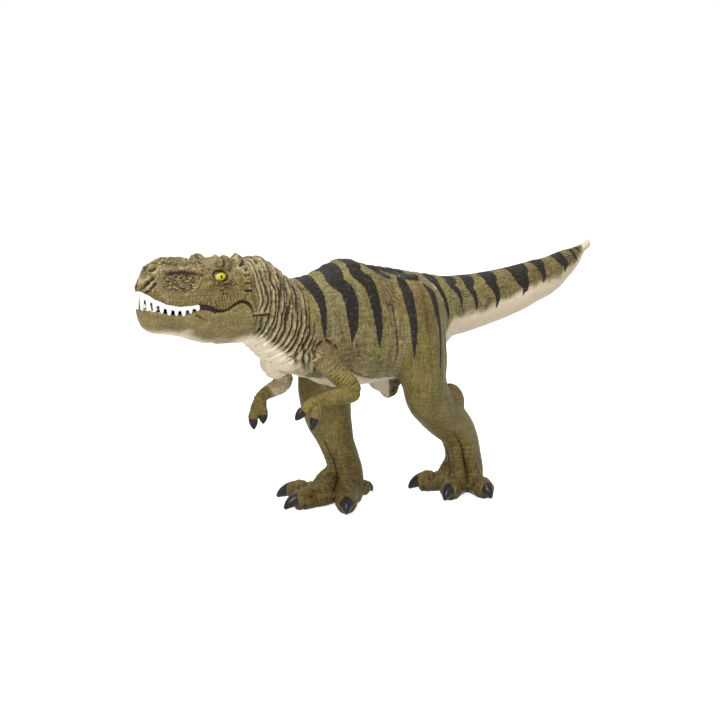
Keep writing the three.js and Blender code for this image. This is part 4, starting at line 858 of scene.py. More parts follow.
def legRelief(points, normals, toes, claws, tendons):
    look = legLook
    x, y, z = points.T
    form = look["uneven"] * layeredNoise(points, 12, 51) * smooth(4, 14, z)
    fine = 0.13 * (0.35 - np.abs(layeredNoise(points * [1, 1, 0.45], 1.6, 53)))
    fine += 0.1 * (0.3 - np.abs(layeredNoise(points * [0.4, 0.6, 1], 1.5, 55)))
    # upright folds of the thigh, and scutes down the shank
    form += look["folds"] * wave(x + 1.5 * layeredNoise(points, 11, 57), look["foldSpacing"]) * smooth(62, 76, z)
    forward = smooth(0.15, 0.5, -0.7 * normals[:, 0] + 0.7 * np.abs(normals[:, 1])) * window(z, 7, 10, 28, 34)
    band = offWhole((z + 0.5 * layeredNoise(points, 4, 59)) / look["scuteSpacing"])
    gaps = np.sort([lineDistance(points, np.array(tendon)[:, :3])[0] for tendon in tendons], axis=0)
    onRidge = smooth(5.5, 3, gaps[0]) * forward
    fine -= look["scutes"] * onRidge * bell(band, 0.17)
    form += onRidge * (look["ridge"] + 0.35 * (0.25 - band))
    between = bell(gaps[1] - gaps[0], 0.9) * smooth(9, 6, gaps[0]) * window(z, 5, 9, 32, 40)
    fine -= 0.42 * between
    form -= look["groove"] * between
    # crease over the calf's bump
    far = np.linalg.norm((points - calfBall["centre"]) / calfBall["radii"], axis=1) - 1.02
    fine -= look["calfCrease"] * bell(far, 0.06) * smooth(26, 18, x) * smooth(44, 50, z) * smooth(0, -6, y)
    # toes: scutes over their backs, and a raised cuticle round each claw
    for toe, claw in zip(toes, claws):
        far, share = lineDistance(points, np.array(toe)[:, :3])
        near, facing = smooth(8.5, 6, far), normals[:, 2]
        scutes = smooth(0.05, 0.5, facing) * bell(offWhole(share * 9.5), 0.15) * window(share, 0.05, 0.25, 0.85, 0.97)
        fine -= look["toeScutes"] * near * (scutes + smooth(-0.05, -0.5, facing) * smooth(0.1, 0.3, share))
        root, tip = np.array(claw[0][:3]), np.array(claw[-1][:3])
        far, share = lineDistance(points, [root - (tip - root) * 0.1, tip])
        form += look["cuticle"] * bell(far - 4.2, 0.8) * smooth(0.75, 0.4, share)
        fine -= 0.3 * bell(far - 5.4, 0.4) * smooth(0.75, 0.4, share)
    return form, fine


armValues = {"length": 42, "x": -55.984, "z": 81.08, "out": 20.58, "finger": 2.5, "voxel": 0.32}
# Rows and fingers of an arm: back, out and down from the shoulder, as shares of the length, then depth and breadth
armSides = {
    "left": {"side": -1, "rows": [[-0.03, -0.1, -0.14, 0.15, 0.09], [0, 0.02, -0.02, 0.16, 0.12],
        [0.09, 0.1, 0.12, 0.13, 0.11], [0.19, 0.16, 0.24, 0.115, 0.11], [0.2, 0.18, 0.34, 0.11, 0.11],
        [0.04, 0.19, 0.35, 0.1, 0.1], [-0.17, 0.2, 0.355, 0.083, 0.08], [-0.36, 0.2, 0.375, 0.068, 0.068],
        [-0.42, 0.2, 0.39, 0.055, 0.055]], "fingers": [[[-0.36, 0.19, 0.37], [-0.45, 0.18, 0.42],
        [-0.52, 0.17, 0.47], [-0.62, 0.17, 0.56]], [[-0.34, 0.21, 0.4], [-0.37, 0.23, 0.48], [-0.39, 0.24, 0.56],
        [-0.45, 0.25, 0.69]]]},
    "right": {"side": 1, "rows": [[-0.08, -0.1, -0.14, 0.15, 0.09], [-0.07, 0, -0.02, 0.17, 0.12],
        [-0.03, 0.02, 0.14, 0.15, 0.11], [0.04, 0.04, 0.28, 0.125, 0.11], [0.06, 0.05, 0.37, 0.11, 0.11],
        [-0.07, 0.03, 0.42, 0.1, 0.1], [-0.22, 0.01, 0.46, 0.083, 0.08], [-0.34, 0, 0.52, 0.068, 0.068],
        [-0.37, 0, 0.57, 0.055, 0.055]], "fingers": [[[-0.35, 0, 0.55], [-0.41, 0, 0.65], [-0.44, 0, 0.75],
        [-0.435, -0.01, 0.885]], [[-0.33, -0.02, 0.55], [-0.34, -0.05, 0.63], [-0.33, -0.06, 0.7],
        [-0.33, -0.06, 0.82]]]},
}
# Rows of a claw: its bed's or its tip's share, then depth and breadth, as shares of the finger's radius
clawRows = [[-0.3, 0.86, 0.82], [0.12, 1.02, 0.96], [0.45, 0.96, 0.88], [0.75, 0.72, 0.64], [1, 0.34, 0.32]]


def makeArm(name):
    values, v = armSides[name], armValues
    length, r = v["length"], v["finger"]

    def place(spot):
        back, out, down = spot
        return np.array([v["x"] + back * length, values["side"] * (v["out"] + out * length), v["z"] - down * length])

    rows = [[*place(row[:3]), row[3] * length, row[4] * length] for row in values["rows"]]
    parts = [limbSkin("upper", rows, 32, 6)]
    claws = []
    for spots in values["fingers"]:
        a, b, c, d = (place(spot) for spot in spots)
        parts.append(limbSkin("finger", [[*a, r * 1.15, r * 1.15], [*b, r, r], [*c, r, r]], 20, 6, (0.3, 0.5)))
        claws.append([])
        for share, deep, wide in clawRows:
            spot = c + (d - c if share > 0 else c - b) * share
            claws[-1].append([*spot, r * deep, r * wide])
    arm = weldParts(f"{name}_arm_skin", parts, v["voxel"], 4)
    points, normals = pointsOf(arm), normalsOf(arm)
    path = smoothRows(rows, 4)[:, :3]
    run = lineDistance(points, path)[1] * np.linalg.norm(np.diff(path, axis=0), axis=1).sum()
    ring = bell(offWhole((run + 0.5 * layeredNoise(points, 3, 61)) / armLook["ringSpacing"]), 0.17)
    fine = 0.1 - armLook["rings"] * ring * smooth(-0.5, 0.3, layeredNoise(points, 2.6, 63))
    fine += 0.16 * (0.3 - np.abs(layeredNoise(points, 1.3, 65)))
    form = armLook["uneven"] * layeredNoise(points, 4, 67)
    for claw in claws:
        far, share = lineDistance(points, [claw[0][:3], claw[2][:3]])
        form += armLook["cuticle"] * bell(far - 2.3, 0.5) * smooth(0.9, 0.3, share)
    setPoints(arm, points + normals * (form + fine)[:, None])
    setMask(arm, "fine", fine)
    return arm, claws


fuseValues = {"reach": {"leg": 9, "arm": 4.5}, "depth": 2.5, "step": 0.8}


def fuse(thing, otherTree, ownTree, reach):
    points, normals = pointsOf(thing), normalsOf(thing)

    def signed(tree, point, limit=1e9):
        spot, normal, index, far = tree.find_nearest(Vector(point), limit)
        return None if spot is None else math.copysign(far, (Vector(point) - spot).dot(normal))

    moved = points.copy()
    for k, point in enumerate(points):
        other = signed(otherTree, point, reach)
        if other is None or other < -fuseValues["depth"]:
            continue
        fade = float(smooth(-fuseValues["depth"], 0, other))
        p = point.copy()
        for step in range(2):
            own, beyond = signed(ownTree, p), signed(otherTree, p)
            h = max(reach - abs(own - beyond), 0) / reach
            p = p - normals[k] * (min(own, beyond) - h * h * reach / 4) * fuseValues["step"]
        moved[k] = point + (p - point) * fade
    setPoints(thing, moved)


# Materials

def setInputs(node, inputs):
    for name, value in inputs.items():
        if isinstance(value, bpy.types.NodeSocket):
            node.id_data.links.new(value, node.inputs[name])
        else:
            node.inputs[name].default_value = value


def addNode(tree, kind, inputs=None, **settings):
    made = tree.nodes.new(kind)
    for name, value in settings.items():
        setattr(made, name, value)
    setInputs(made, inputs or {})
    return made


def mathNode(operation, a, b=0.0, c=0.0, clamp=False):
    return addNode(a.id_data, "ShaderNodeMath", {0: a, 1: b, 2: c}, operation=operation, use_clamp=clamp).outputs[0]


def times(a, b, clamp=False):
    return mathNode("MULTIPLY", a, b, clamp=clamp)


def plus(a, b):
    return mathNode("ADD", a, b)


def minus(a, b):
    return mathNode("SUBTRACT", a, b)


def most(a, b):
    return mathNode("MAXIMUM", a, b)


def mixColour(amount, a, b, how="MIX"):
    tree = (a if isinstance(amount, float) else amount).id_data
    return addNode(tree, "ShaderNodeMix", {"Factor": amount, 6: a, 7: b}, data_type="RGBA", blend_type=how).outputs[2]


def ramp(value, low, high):
    inputs = {"Value": value, "From Min": low, "From Max": high}
    return addNode(value.id_data, "ShaderNodeMapRange", inputs, interpolation_type="SMOOTHSTEP").outputs[0]


def colour(values):
    return (*linear(values), 1)


def objectPlace(tree):
    return addNode(tree, "ShaderNodeTexCoord").outputs["Object"]


def cloud(at, scale, detail, rough=0.5):
    inputs = {"Vector": at, "Scale": scale, "Detail": detail, "Roughness": rough}
    return addNode(at.id_data, "ShaderNodeTexNoise", inputs).outputs[0]


paintColours = {
    "Stripe": (14, 11, 10), "Pale": (242, 228, 202), "Wash": (40, 28, 14), "Dry": (214, 199, 160),
    "broad": (214, 214, 196), "crackle": (200, 196, 168), "worn": (118, 112, 112), "mouth": (86, 34, 34),
    "iris": (216, 206, 70), "irisFleck": (168, 150, 36), "irisRim": (44, 36, 14), "pupil": (12, 10, 9),
}


def vinylPaintGroup():
    number, tint = "NodeSocketFloat", "NodeSocketColor"
    group = bpy.data.node_groups.new("vinylPaint", "ShaderNodeTree")
    given = {"Coat": (0.2, 0.17, 0.06, 1), "Stripe": noPaint, "Pale": noPaint, "Fine": 0}
    given.update({"Wash": 1, "Dry": 1, "Grain": 1})
    given.update({f"{name} Colour": colour(paintColours[name]) for name in ("Stripe", "Pale", "Wash", "Dry")})
    for label, value in given.items():
        kind = tint if isinstance(value, tuple) else number
        group.interface.new_socket(label, in_out="INPUT", socket_type=kind).default_value = value
    for label, kind in (("Color", tint), ("Gloss", number), ("Height", number)):
        group.interface.new_socket(label, in_out="OUTPUT", socket_type=kind)
    value, out = group.nodes.new("NodeGroupInput").outputs, group.nodes.new("NodeGroupOutput")
    at = objectPlace(group)

    def stretched(scale, detail, rough, across=(1, 1, 1)):
        turned = addNode(group, "ShaderNodeMapping", {"Vector": at, "Scale": across}, vector_type="POINT").outputs[0]
        return cloud(turned, scale, detail, rough)

    def hairline(noise, width):
        return ramp(mathNode("ABSOLUTE", minus(noise, 0.5)), width, width * 0.25)

    def jitter(noise, size):
        return times(minus(noise, 0.5), size)

    def darker(base, name):
        return mixColour(1.0, base, colour(paintColours[name]), "MULTIPLY")

    broad, speck, crackle = stretched(85, 3, 0.55), stretched(780, 3, 0.7), stretched(240, 3, 0.6)
    upright, level = stretched(900, 1, 0.4, (1, 1, 0.12)), stretched(860, 1, 0.4, (0.14, 0.3, 1))
    lines = most(hairline(upright, 0.07), times(hairline(level, 0.06), 0.9))
    base = mixColour(ramp(broad, 0.3, 0.7), darker(value["Coat"], "broad"), value["Coat"])
    base = mixColour(times(ramp(crackle, 0.42, 0.62), 0.3), base, darker(base, "crackle"))
    upright, level = stretched(820, 1, 0.4, (1, 1, 0.1)), stretched(780, 1, 0.4, (0.12, 0.3, 1))
    threads = times(most(hairline(upright, 0.08), hairline(level, 0.07)), 0.2)
    base = mixColour(times(threads, value["Dry"]), base, value["Dry Colour"])
    # stripes with a broken edge, and cream with a soft one
    stripe = ramp(plus(value["Stripe"], jitter(speck, 2.4)), -0.16, 0.2)
    inStripe = mixColour(times(ramp(speck, 0.54, 0.68), 0.36), value["Stripe Colour"], colour(paintColours["worn"]))
    pale = ramp(plus(value["Pale"], jitter(broad, 9)), -2.6, 2.4)
    base = mixColour(pale, base, value["Pale Colour"])
    base = mixColour(times(stripe, 0.97), base, inStripe)
    # dark wash in the creases and dry brush on what stands up
    thin = times(lines, mathNode("MULTIPLY_ADD", pale, -0.3, 0.42))
    deep = times(most(ramp(value["Fine"], -0.1, -0.46), thin), value["Wash"], clamp=True)
    wash = mixColour(mathNode("MULTIPLY_ADD", pale, -0.45, 0.88), base, value["Wash Colour"])
    base = mixColour(deep, base, wash)
    high = times(ramp(plus(value["Fine"], jitter(speck, 0.3)), 0.1, 0.42), value["Dry"], clamp=True)
    base = mixColour(times(high, 0.55), base, value["Dry Colour"])
    height = times(minus(times(speck, 0.35), lines), value["Grain"])
    setInputs(out, {"Color": base, "Gloss": plus(times(speck, 0.16), times(deep, 0.12)), "Height": height})
    return group


def newMaterial(name, inputs):
    made = bpy.data.materials.new(name)
    made.use_nodes = True
    shader = made.node_tree.nodes["Principled BSDF"]
    setInputs(shader, inputs)
    return made, made.node_tree, shader


def readMask(tree, name, output="Fac"):
    return addNode(tree, "ShaderNodeAttribute", attribute_name=name).outputs[output]


def finishShader(shader, base, rough, height, strength, distance):
    relief = addNode(shader.id_data, "ShaderNodeBump", {"Strength": strength, "Distance": distance, "Height": height})
    setInputs(shader, {"Base Color": base, "Roughness": rough, "Normal": relief.outputs[0]})


def skinMaterial(name, values, rough, bump):
    made, tree, shader = newMaterial(name, {"Specular IOR Level": 0.16})
    inputs = {"Coat": readMask(tree, "coat", "Color")}
    inputs.update({label: readMask(tree, label.lower()) for label in ("Stripe", "Pale", "Fine")})
    inputs["Pale Colour"] = readMask(tree, "cream", "Color")
    paint = addNode(tree, "ShaderNodeGroup", {**inputs, **values}, node_tree=paintGroup).outputs
    mouth = mixColour(ramp(readMask(tree, "inside"), 0.3, 0.7), paint["Color"], colour(paintColours["mouth"]))
    finishShader(shader, mouth, plus(paint["Gloss"], rough - 0.08), paint["Height"], bump, 0.00022)
    return made


def speckledMaterial(name, light, dark, rough, scale, bump, specular=0.5, metal=0.0):
    made, tree, shader = newMaterial(name, {"Specular IOR Level": specular, "Metallic": metal})
    mottle = cloud(objectPlace(tree), scale, 4, 0.6)
    base = mixColour(ramp(mottle, 0.35, 0.7), colour(dark), colour(light))
    finishShader(shader, base, plus(times(mottle, 0.14), rough - 0.07), mottle, bump, 0.0002)
    return made


def eyeMaterial():
    glossy = {"Roughness": 0.3, "Coat Weight": 0.06, "Coat Roughness": 0.1, "Specular IOR Level": 0.25}
    made, tree, shader = newMaterial("glossyEye", glossy)
    fleck = cloud(objectPlace(tree), 1600, 3)
    iris = mixColour(fleck, colour(paintColours["iris"]), colour(paintColours["irisFleck"]))
    rim = mixColour(ramp(readMask(tree, "ring"), 0.72, 0.95), iris, colour(paintColours["irisRim"]))
    slit = mixColour(ramp(readMask(tree, "slit"), 0.45, 0.55), rim, colour(paintColours["pupil"]))
    setInputs(shader, {"Base Color": slit})
    return made


paintGroup = vinylPaintGroup()
materials = {
    "skin": skinMaterial("figureVinyl", {"Wash": 1.0, "Dry": 1.0, "Grain": 1.0}, 0.5, 0.85),
    "jaw": skinMaterial("jawVinyl", {"Wash": 0.9, "Dry": 0.7, "Grain": 0.7}, 0.46, 0.7),
    "limb": skinMaterial("limbVinyl", {"Wash": 1.0, "Dry": 0.55, "Grain": 0.7}, 0.44, 0.7),
    "claw": speckledMaterial("clawBlack", (44, 39, 36), (8, 7, 6), 0.3, 1500, 0.3, 0.22),
    "tooth": speckledMaterial("toothWhite", (255, 253, 248), (236, 230, 216), 0.3, 700, 0.3),
    "tongue": speckledMaterial("tonguePink", (150, 78, 72), (112, 50, 48), 0.38, 800, 0.5),
    "gum": speckledMaterial("gumMaroon", (60, 31, 28), (34, 17, 16), 0.5, 900, 0.4, 0.2),
    "steel": speckledMaterial("pinSteel", (196, 198, 202), (150, 152, 158), 0.3, 500, 0.2, metal=1.0),
    "eye": eyeMaterial(),
}
print("materials ready")


# The body's grid, sculpted whole and then parted at the seams

def bodyGridPoints():
    g = bodyGrid
    tailEnd, snoutEnd = bodyRows[0][0], bodyRows[-1][0]

    def stations(start, end, step):
        return np.linspace(start, end, round((start - end) / step))

    tail = stations(tailEnd, g["tailSeam"], g["tailRing"])
    trunk = np.concatenate([stations(g["tailSeam"], g["neckRoot"], g["trunkRing"])[1:],
                            stations(g["neckRoot"], g["neckSeam"], g["neckRing"])[1:]])
    head = stations(g["neckSeam"], snoutEnd, g["headRing"])[1:]
    rings = [bodyRing(x, g["halfSides"]) for x in np.concatenate([tail, trunk, head])]

    def domed(x, pole, steps):
        made = []
        y0, top, wide, bottom, half, upper, lower = (float(v) for v in rowAt(x))
        for turn in np.radians(steps):
            s = math.cos(turn)
            row = [y0, wide + (top - wide) * s, wide, wide - (wide - bottom) * s, half * s, upper, lower]
            made.append(bodyRing(x + (pole - x) * math.sin(turn), g["halfSides"], 0, row))
        return made

    tailCap = domed(tailEnd, g["tailPole"], [80, 65, 45, 22])
    snoutCap = domed(snoutEnd, g["snoutPole"], [14, 28, 42, 56, 68, 79])
    return np.array(tailCap + rings + snoutCap), len(tailCap) + len(tail), len(trunk)


def gridNormals(grid):
    normals = np.cross(np.roll(grid, -1, axis=1) - np.roll(grid, 1, axis=1), np.gradient(grid, axis=0))
    normals /= np.maximum(np.linalg.norm(normals, axis=2), 1e-9)[..., None]
    middle = grid.mean(axis=1, keepdims=True)
    return normals if ((grid - middle) * normals).sum() > 0 else -normals


bulgeBalls = [([-2.6, 0, 66.8], [11, 7.5, 9.2]), ([-0.6, 0, 61.8], [5.8, 5.4, 7.8])]
poleReach = {"tail": 0.25, "head": -0.1}  # how far the pole stands out from the last ring


def makeBody():
    grid, tailEnd, trunkCount = bodyGridPoints()
    points, normals = grid.reshape(-1, 3), gridNormals(grid).reshape(-1, 3)
    form, fine = bodyRelief(points, normals)
    bulge = np.maximum(*(swell(points, normals, centre, radii, 0.9) for centre, radii in bulgeBalls))
    form = form + np.where(points[:, 2] < 80, bulge, 0)
    sculpted = (points + normals * (form + fine)[:, None]).reshape(grid.shape)
    fine = fine.reshape(grid.shape[:2])
    trunkEnd = tailEnd + trunkCount
    made = {}
    spans = {"tail": (0, tailEnd), "trunk": (tailEnd - 1, trunkEnd), "head": (trunkEnd - 1, len(grid))}
    for name, (first, last) in spans.items():
        rings = sculpted[first:last]
        poles = [rings[0].mean(0), rings[-1].mean(0)]
        if name in poleReach:
            poles[0 if name == "tail" else 1] += [poleReach[name], 0, 0]
        made[name] = closedSkin(f"{name}_skin", rings, *poles)
        setMask(made[name], "fine", np.concatenate([fine[first:last].ravel(), [0, 0]]))
    return made


def paintSkin(thing, material, part="body"):
    points, normals = pointsOf(thing), normalsOf(thing)
    setCoat(thing, "coat", coatOver(points, normals, part))
    setCoat(thing, "cream", creamOver(points))
    setMask(thing, "stripe", stripeEdge(points))
    setMask(thing, "pale", paleEdge(points) if part == "body" else np.full(len(points), noPaint))
    if "inside" not in thing.data.attributes:
        setMask(thing, "inside", np.zeros(len(points)))
    thing.data.materials.clear()
    thing.data.materials.append(material)
    shadeSmooth(thing)


# The mouth: radii round the hinge, the core between the jaw's arms, walls and the lining, in mm
mouthValues = {
    "jawRadius": 10.45, "cheekRadius": 10.65, "heelRadius": 13.3, "core": 11.74, "coreHalf": 8.14, "coreGap": 0.45,
    "coreFoot": 4.7, "wall": 4.8, "palate": 2.3, "lining": 1.3, "liningWall": 1.2, "liningReach": (-128.9, -119.8),
    "skinReach": 0.12, "cheekFront": [-132.4, 112.3],
}
jawFloor = [[-150.5, 107.4], [-138, 105.6], [-120.9, 101.1]]
floorZ, roofZ, frontX, backX, wideY = 60, 150, -190, -70, 40


def sideSlab(outline, fromY=-wideY, toY=wideY):
    points = np.array([[x, y, z] for y in (fromY, toY) for x, z in outline], float)
    count = len(outline)
    sides = [[k, (k + 1) % count, count + (k + 1) % count, count + k] for k in range(count)]
    thing = newObject("slab", points, sides + [list(range(count))[::-1], list(range(count, 2 * count))])

    def split(work):
        bmesh.ops.triangulate(work, faces=[face for face in work.faces if len(face.verts) > 4])

    editMesh(thing, split)
    outward(thing)
    return thing


def hingeArc(radius, fromTurn, toTurn, steps=24):
    turns = np.radians(np.linspace(fromTurn, toTurn, steps + 1))
    return [[draftHinge[0] + radius * math.cos(t), draftHinge[2] + radius * math.sin(t)] for t in turns]


def innerSkin(name, grow, fromX, toX, bottomLine=None):
    rings = []
    for x in np.linspace(fromX, toX, 40):
        row = [float(v) for v in rowAt(x)]
        if bottomLine:
            row[3], row[6] = heightOn(bottomLine, x) + grow, 4
        rings.append(bodyRing(x, 40, grow, row))
    rings = np.array(rings)
    return closedSkin(name, rings, rings[0].mean(0), rings[-1].mean(0))


def cutHead(whole):
    v = mouthValues
    foot = [draftHinge[0] - v["coreFoot"], floorZ]
    gape = [[frontX, lipLine[0][1]]] + lipLine + hingeArc(v["core"], 150, 262) + [foot, [frontX, floorZ]]
    beside = hingeArc(v["cheekRadius"], 146, -64, 72) + hingeArc(v["heelRadius"], -64, -98)
    beside += [foot, [v["cheekFront"][0], floorZ], v["cheekFront"], lipLine[-1]]
    cutWith(whole, sideSlab(gape))
    cutWith(whole, sideSlab(beside, -wideY, -v["coreHalf"]))
    cutWith(whole, sideSlab(beside, v["coreHalf"], wideY))
    inner = innerSkin("palate", -v["wall"], -127.5, -150)
    raised = [[x, z + v["palate"]] for x, z in lipLine if -152 < x < -126]
    cutWith(inner, sideSlab(raised + [[raised[-1][0], floorZ], [raised[0][0], floorZ]]), "INTERSECT")
    cutWith(whole, inner)


def cutJaw(whole):
    v = mouthValues
    rim = [[frontX, rimLine[0][1]]] + rimLine + hingeArc(v["jawRadius"], 150, -92, 80)
    cutWith(whole, sideSlab(rim + [[draftHinge[0] - 0.4, floorZ], [frontX, floorZ]]), "INTERSECT")
    trough = innerSkin("trough", -v["wall"], -119, -152, jawFloor)
    cutWith(trough, sideSlab(jawFloor + [[jawFloor[-1][0], roofZ], [jawFloor[0][0], roofZ]]), "INTERSECT")
    cutWith(whole, trough)
    clear = hingeArc(v["core"] + v["coreGap"], 150, 229)
    clear += [[clear[-1][0], floorZ], [backX, floorZ], [backX, roofZ], [-121, roofZ]]
    half = v["coreHalf"] + v["coreGap"]
    cutWith(whole, sideSlab(clear, -half, half))


def makeLining():
    v = mouthValues
    outer = innerSkin("lining", -v["lining"], -112, -134)
    cutWith(outer, innerSkin("lining_inner", -v["lining"] - v["liningWall"], -110, -136))
    xs = np.linspace(*v["liningReach"], 20)
    upper = [[x, heightOn(lipLine, x) + 0.8 * smooth(-129.5, -127, x)] for x in xs]
    lower = [[x, heightOn(rimLine, x) + 0.15] for x in xs[::-1]]
    cutWith(outer, sideSlab(upper + lower), "INTERSECT")
    outer.name = "mouth_lining"
    outer.data.materials.clear()
    outer.data.materials.append(materials["gum"])
    shadeSmooth(outer)
    return outer


def copyOf(thing, name):
    return addObject(name, thing.data.copy())


def finishMouth(thing, material):
    faces, values = [face.vertices[0] for face in wholeHead.data.polygons], maskOf(wholeHead, "fine")
    points = pointsOf(thing)
    found = [headTree.find_nearest(Vector(point)) for point in points]
    inside = np.array([far > mouthValues["skinReach"] for spot, normal, index, far in found], float)
    fine = np.array([values[faces[index]] for spot, normal, index, far in found])
    setMask(thing, "fine", fine * (1 - inside))
    setMask(thing, "inside", inside * smooth(-113, -119, points[:, 0]))
    paintSkin(thing, material)


parts = makeBody()
print("body sculpted")
jaw, wholeHead = copyOf(parts["head"], "jaw_skin"), copyOf(parts["head"], "whole_head")
cutHead(parts["head"])
cutJaw(jaw)
print("mouth cut", len(parts["head"].data.vertices), len(jaw.data.vertices))
headTree = treeOf(wholeHead)
finishMouth(parts["head"], materials["skin"])
finishMouth(jaw, materials["jaw"])
bpy.data.objects.remove(wholeHead)

limbs, claws = {}, {}
for side in ("left", "right"):
    limbs[f"{side}_leg"], claws[f"{side}_leg"] = makeLeg(side)
for side in ("left", "right"):
    limbs[f"{side}_arm"], claws[f"{side}_arm"] = makeArm(side)
trunkTree = treeOf(parts["trunk"])
limbTrees = {name: treeOf(limb) for name, limb in limbs.items()}
for name, limb in limbs.items():
    kind = name.split("_")[1]
    reach = fuseValues["reach"][kind]
    fuse(limb, trunkTree, limbTrees[name], reach)
    fuse(parts["trunk"], limbTrees[name], trunkTree, reach)
    paintSkin(limb, materials["limb"], kind)
for name in ("trunk", "tail"):
    paintSkin(parts[name], materials["skin"])
print("limbs fused to the trunk")

clawLift = 0.02  # keeps the claws off the floor
clawSets = {}
for name, rows in claws.items():
    shells = [limbSkin("claw", row, 24, 6, (0.3, 0.6)) for row in rows]
    for shell in shells if "leg" in name else []:
        points = pointsOf(shell)
        points[:, 2] = np.maximum(points[:, 2], clawLift)
        setPoints(shell, points)
    clawSets[name] = joined(f"{name}_claws", shells, materials["claw"])
    shadeSmooth(clawSets[name])


# Teeth: a row of blunt cones on a fused root, by Geometry Nodes
toothValues = {
    "upper": {"line": lipLine, "sink": 0, "inset": 1.2, "end": -129.2, "count": 18, "width": 2.5, "depth": 1.6,
        "gumWidth": 0.75, "gumShare": 0.28, "seed": 4},
    "lower": {"line": rimLine, "sink": 0.7, "inset": 4.1, "end": -131.5, "count": 16, "width": 1.4, "depth": 1.25,
        "gumWidth": 0.7, "gumShare": 0.3, "seed": 9},
}
lipFront = -155.2


def toothPath(values):
    inset, front = values["inset"], lipFront + values["inset"]
    x = front + (values["end"] - front) * np.linspace(0, 1, 60) ** 2
    z = heightOn(values["line"], x) - values["sink"]
    y = np.maximum(headHalfWidth(np.maximum(x - inset * 0.6, -154.3), z) - inset * 0.8, 0)
    y[0] = 0
    side = np.stack([x, y, z], -1)
    path = smoothRows(np.vstack([side[:0:-1] * [1, -1, 1], side]), 4)
    run = np.concatenate([[0], np.cumsum(np.linalg.norm(np.diff(path, axis=0), axis=1))])
    at = np.linspace(0, run[-1], 4 * values["count"] + 9)
    return np.stack([np.interp(at, run, path[:, k]) for k in range(3)], -1)


def toothRowTree():
    tree = bpy.data.node_groups.new("toothRow", "GeometryNodeTree")
    kinds = {"Geometry": "Geometry", "Count": "Int", "Width": "Float", "Depth": "Float", "Gum Width": "Float",
             "Gum Share": "Float", "Seed": "Int", "Material": "Material"}
    for label, kind in kinds.items():
        tree.interface.new_socket(label, in_out="INPUT", socket_type=f"NodeSocket{kind}")
    tree.interface.new_socket("Geometry", in_out="OUTPUT", socket_type="NodeSocketGeometry")
    given, out = tree.nodes.new("NodeGroupInput").outputs, tree.nodes.new("NodeGroupOutput")

    def made(kind, inputs=None, **settings):
        return addNode(tree, kind, inputs, **settings).outputs[0]

    def xyz(x=0.0, y=0.0, z=0.0):
        return made("ShaderNodeCombineXYZ", {"X": x, "Y": y, "Z": z})

    def place():
        return addNode(tree, "ShaderNodeSeparateXYZ", {0: made("GeometryNodeInputPosition")}).outputs

    def named(name):
        return made("GeometryNodeInputNamedAttribute", {"Name": name}, data_type="FLOAT")

    # one tooth, its root at 0 and its tip at 1 below
    ball = made("GeometryNodeMeshUVSphere", {"Segments": 14, "Rings": 10, "Radius": 0.5})
    x, y, z = place()
    square = most(mathNode("MULTIPLY_ADD", times(z, z), -4.0, 1.0), 0.03)
    taper = times(mathNode("MULTIPLY_ADD", z, 0.35, 0.9), mathNode("POWER", square, -0.18))
    moved = xyz(times(x, taper), times(y, taper), minus(z, 0.5))
    tooth = made("GeometryNodeSetPosition", {"Geometry": ball, "Position": moved})
    # the row
    curve = made("GeometryNodeMeshToCurve", {"Mesh": given["Geometry"]})
    points = made("GeometryNodeResampleCurve", {"Curve": curve, "Count": given["Count"]}, mode="COUNT")
    tangent = made("GeometryNodeInputTangent")
    along = made("FunctionNodeAlignRotationToVector", {"Vector": tangent}, axis="X", pivot_axis="Z")
    length = named("length")
    draw = addNode(tree, "FunctionNodeRandomValue", {2: 0.88, 3: 1.1, "Seed": given["Seed"]}, data_type="FLOAT")
    spread = draw.outputs[1]
    tall = times(length, mathNode("MULTIPLY_ADD", spread, 0.5, 0.5))
    size = xyz(times(given["Width"], spread), given["Depth"], tall)
    inputs = {"Points": points, "Instance": tooth, "Rotation": along, "Scale": size}
    teeth = made("GeometryNodeInstanceOnPoints", inputs)
    # the fused roots
    upright = made("GeometryNodeSetCurveNormal", {"Curve": curve}, mode="Z_UP")
    loop = made("GeometryNodeCurvePrimitiveCircle", {"Resolution": 14, "Radius": 1.0})
    wide = given["Gum Width"]
    flat = made("GeometryNodeTransform", {"Geometry": loop, "Scale": xyz(wide, wide, 1.0)})
    tube = made("GeometryNodeCurveToMesh", {"Curve": upright, "Profile Curve": flat, "Fill Caps": True})
    share = mathNode("DIVIDE", minus(place()["Z"], named("level")), wide)
    below = times(times(share, mathNode("SIGN", length)), -1.0)
    toTip = times(times(most(below, 0.0), times(length, given["Gum Share"])), -1.0)
    gum = made("GeometryNodeSetPosition", {"Geometry": tube, "Offset": xyz(0.0, 0.0, toTip)})
    both = addNode(tree, "GeometryNodeJoinGeometry")
    for part in (gum, teeth):
        tree.links.new(part, both.inputs[0])
    real = made("GeometryNodeRealizeInstances", {"Geometry": both.outputs[0]})
    smoothed = made("GeometryNodeSetShadeSmooth", {"Geometry": real})
    done = made("GeometryNodeSetMaterial", {"Geometry": smoothed, "Material": given["Material"]})
    setInputs(out, {0: done})
    return tree


toothTree = toothRowTree()


